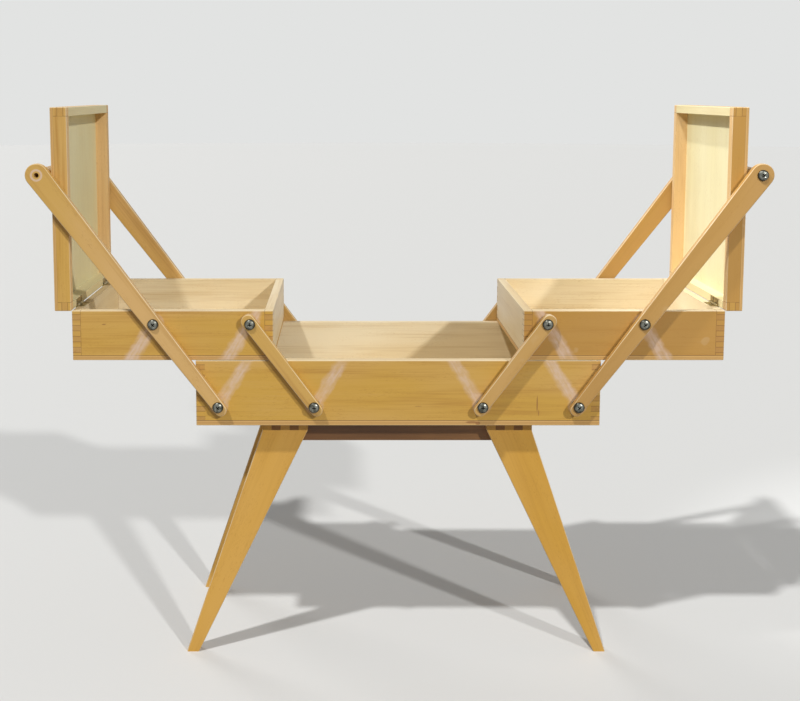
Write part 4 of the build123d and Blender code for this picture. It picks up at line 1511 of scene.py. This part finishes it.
FLOOR_RADIUS = 12.0
LIGHTS = {                              # the way from the box to each distant light
    "high_light": (-0.33, -0.4, 0.86),
    "front_light": (0.52, -0.72, 0.46),
    "back_light": (-0.5, 0.68, 0.5),
}
LID_LAMP = (-0.83, -0.34, 0.93)         # the way from the right lid's panel to its lamp
LID_LAMP_RADIUS = 30 * MM
LID_LAMP_CONE = math.radians(24)
CAMERA_PLACE = (-0.0558, -1.2217, 0.6005)
CAMERA_DIP = 0.1                        # radians below level
CAMERA_LENS = 49.71                     # millimetres
CAMERA_SENSOR = 36.0
CAMERA_SHIFT = (0.0695, -0.1844)


def lay_floor(settings):
    """A wide plain floor under the feet"""
    mesh = bpy.data.meshes.new("floor")
    shape = bmesh.new()
    bmesh.ops.create_circle(shape, cap_ends=True, segments=64, radius=FLOOR_RADIUS)
    shape.to_mesh(mesh)
    shape.free()
    floor = new_object("floor", mesh)
    material, nodes, shader = new_material("pale_floor")
    tint = nodes.mix(seen_rays(nodes), tuple(settings.floor_bounce), tuple(settings.floor))
    nodes.feed(shader.inputs["Base Color"], tint)
    nodes.feed(shader.inputs["Roughness"], 0.8)
    mesh.materials.append(material)


def seen_rays(nodes):
    """1 for what the camera sees, also in reflections"""
    rays = nodes.add("ShaderNodeLightPath").outputs
    seen = nodes.math("MAXIMUM", rays["Is Camera Ray"], rays["Is Glossy Ray"])
    return nodes.math("MAXIMUM", seen, rays["Is Transmission Ray"])


def light_backdrop(settings):
    """Even light from all round, and a plain pale backdrop for the camera"""
    world = bpy.data.worlds.new("pale_room")
    bpy.context.scene.world = world
    world.use_nodes = True
    world.node_tree.nodes.clear()
    nodes = Nodes(world.node_tree)
    even = nodes.add("ShaderNodeBackground", {"Color": (1.0, 1.0, 1.0), "Strength": settings.room_light})
    plain = nodes.add("ShaderNodeBackground", {"Color": tuple(settings.backdrop), "Strength": 1.0})
    mixed = nodes.add("ShaderNodeMixShader", {0: seen_rays(nodes), 1: even.outputs[0], 2: plain.outputs[0]})
    nodes.add("ShaderNodeOutputWorld", {"Surface": mixed.outputs[0]})


def hang_lamp(name, lamp, place, towards):
    """Place a lamp; towards points from the box to the lamp"""
    light = new_object(name, lamp)
    light.location = place
    light.rotation_mode = "QUATERNION"
    light.rotation_quaternion = towards.to_track_quat("Z", "Y")


def add_light(name, strength, towards, softness):
    """A soft distant light"""
    lamp = bpy.data.lights.new(name, "SUN")
    lamp.energy = strength
    lamp.angle = softness
    towards = Vector(towards)
    hang_lamp(name, lamp, towards * 3.0, towards)


def add_lid_lamp(power):
    """A small lamp high on the left that shines into the right lid"""
    lamp = bpy.data.lights.new("lid_lamp", "SPOT")
    lamp.energy = power
    lamp.shadow_soft_size = LID_LAMP_RADIUS
    lamp.spot_size = LID_LAMP_CONE
    lamp.spot_blend = 1.0
    low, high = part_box("right_lid_panel")
    towards = Vector(LID_LAMP)
    hang_lamp("lid_lamp", lamp, (low + high) / 2 + towards, towards)


def place_camera():
    """Camera in front of the open box, a little to the left and above the trays"""
    lens = bpy.data.cameras.new("camera")
    lens.sensor_width = CAMERA_SENSOR
    lens.lens = CAMERA_LENS
    lens.shift_x, lens.shift_y = CAMERA_SHIFT
    camera = new_object("camera", lens)
    camera.location = CAMERA_PLACE
    camera.rotation_euler = (math.pi / 2 - CAMERA_DIP, 0.0, 0.0)
    bpy.context.scene.camera = camera


# ---- Panel and start ------------------------------------------------------------------------

OPERATORS = (
    SEWINGBOX_OT_base_box,
    SEWINGBOX_OT_trays,
    SEWINGBOX_OT_lids,
    SEWINGBOX_OT_arms,
    SEWINGBOX_OT_stand,
    SEWINGBOX_OT_dome_screws,
    SEWINGBOX_OT_washers,
    SEWINGBOX_OT_wood_screws,
    SEWINGBOX_OT_hinges,
    SEWINGBOX_OT_stage,
)
SETTINGS = {
    "sewing_box_wood": SewingBoxWood,
    "sewing_box_metal": SewingBoxMetal,
    "sewing_box_screws": SewingBoxScrews,
    "sewing_box_stand": SewingBoxStandScrews,
    "sewing_box_hinges": SewingBoxHinges,
    "sewing_box_stage": SewingBoxStage,
}


class SEWINGBOX_PT_sidebar(bpy.types.Panel):
    """Settings and makers of the sewing box"""

    bl_idname = "SEWINGBOX_PT_sidebar"
    bl_label = "Sewing Box"
    bl_space_type = "VIEW_3D"
    bl_region_type = "UI"
    bl_category = "Sewing Box"

    def draw(self, context):
        for name, group in SETTINGS.items():
            column = self.layout.column()
            column.label(text=group.__doc__)
            for key in group.__annotations__:
                column.prop(getattr(context.scene, name), key)
        for operator in OPERATORS:
            self.layout.operator(operator.bl_idname)


def register():
    """Add the settings, the operators and the panel"""
    for group in SETTINGS.values():
        bpy.utils.register_class(group)
    for name, group in SETTINGS.items():
        setattr(bpy.types.Scene, name, bpy.props.PointerProperty(type=group))
    for operator in OPERATORS:
        bpy.utils.register_class(operator)
    bpy.utils.register_class(SEWINGBOX_PT_sidebar)


def unregister():
    """Take them away again"""
    bpy.utils.unregister_class(SEWINGBOX_PT_sidebar)
    for operator in reversed(OPERATORS):
        bpy.utils.unregister_class(operator)
    for name in SETTINGS:
        delattr(bpy.types.Scene, name)
    for group in reversed(SETTINGS.values()):
        bpy.utils.unregister_class(group)


def main():
    """Make the whole scene"""
    register()
    bpy.ops.sewingbox.base_box()
    bpy.ops.sewingbox.trays()
    bpy.ops.sewingbox.lids()
    bpy.ops.sewingbox.arms()
    bpy.ops.sewingbox.stand()
    bpy.ops.sewingbox.dome_screws()
    bpy.ops.sewingbox.washers()
    bpy.ops.sewingbox.wood_screws()
    bpy.ops.sewingbox.hinges()
    bpy.ops.sewingbox.stage()


if __name__ == "__main__":
    main()
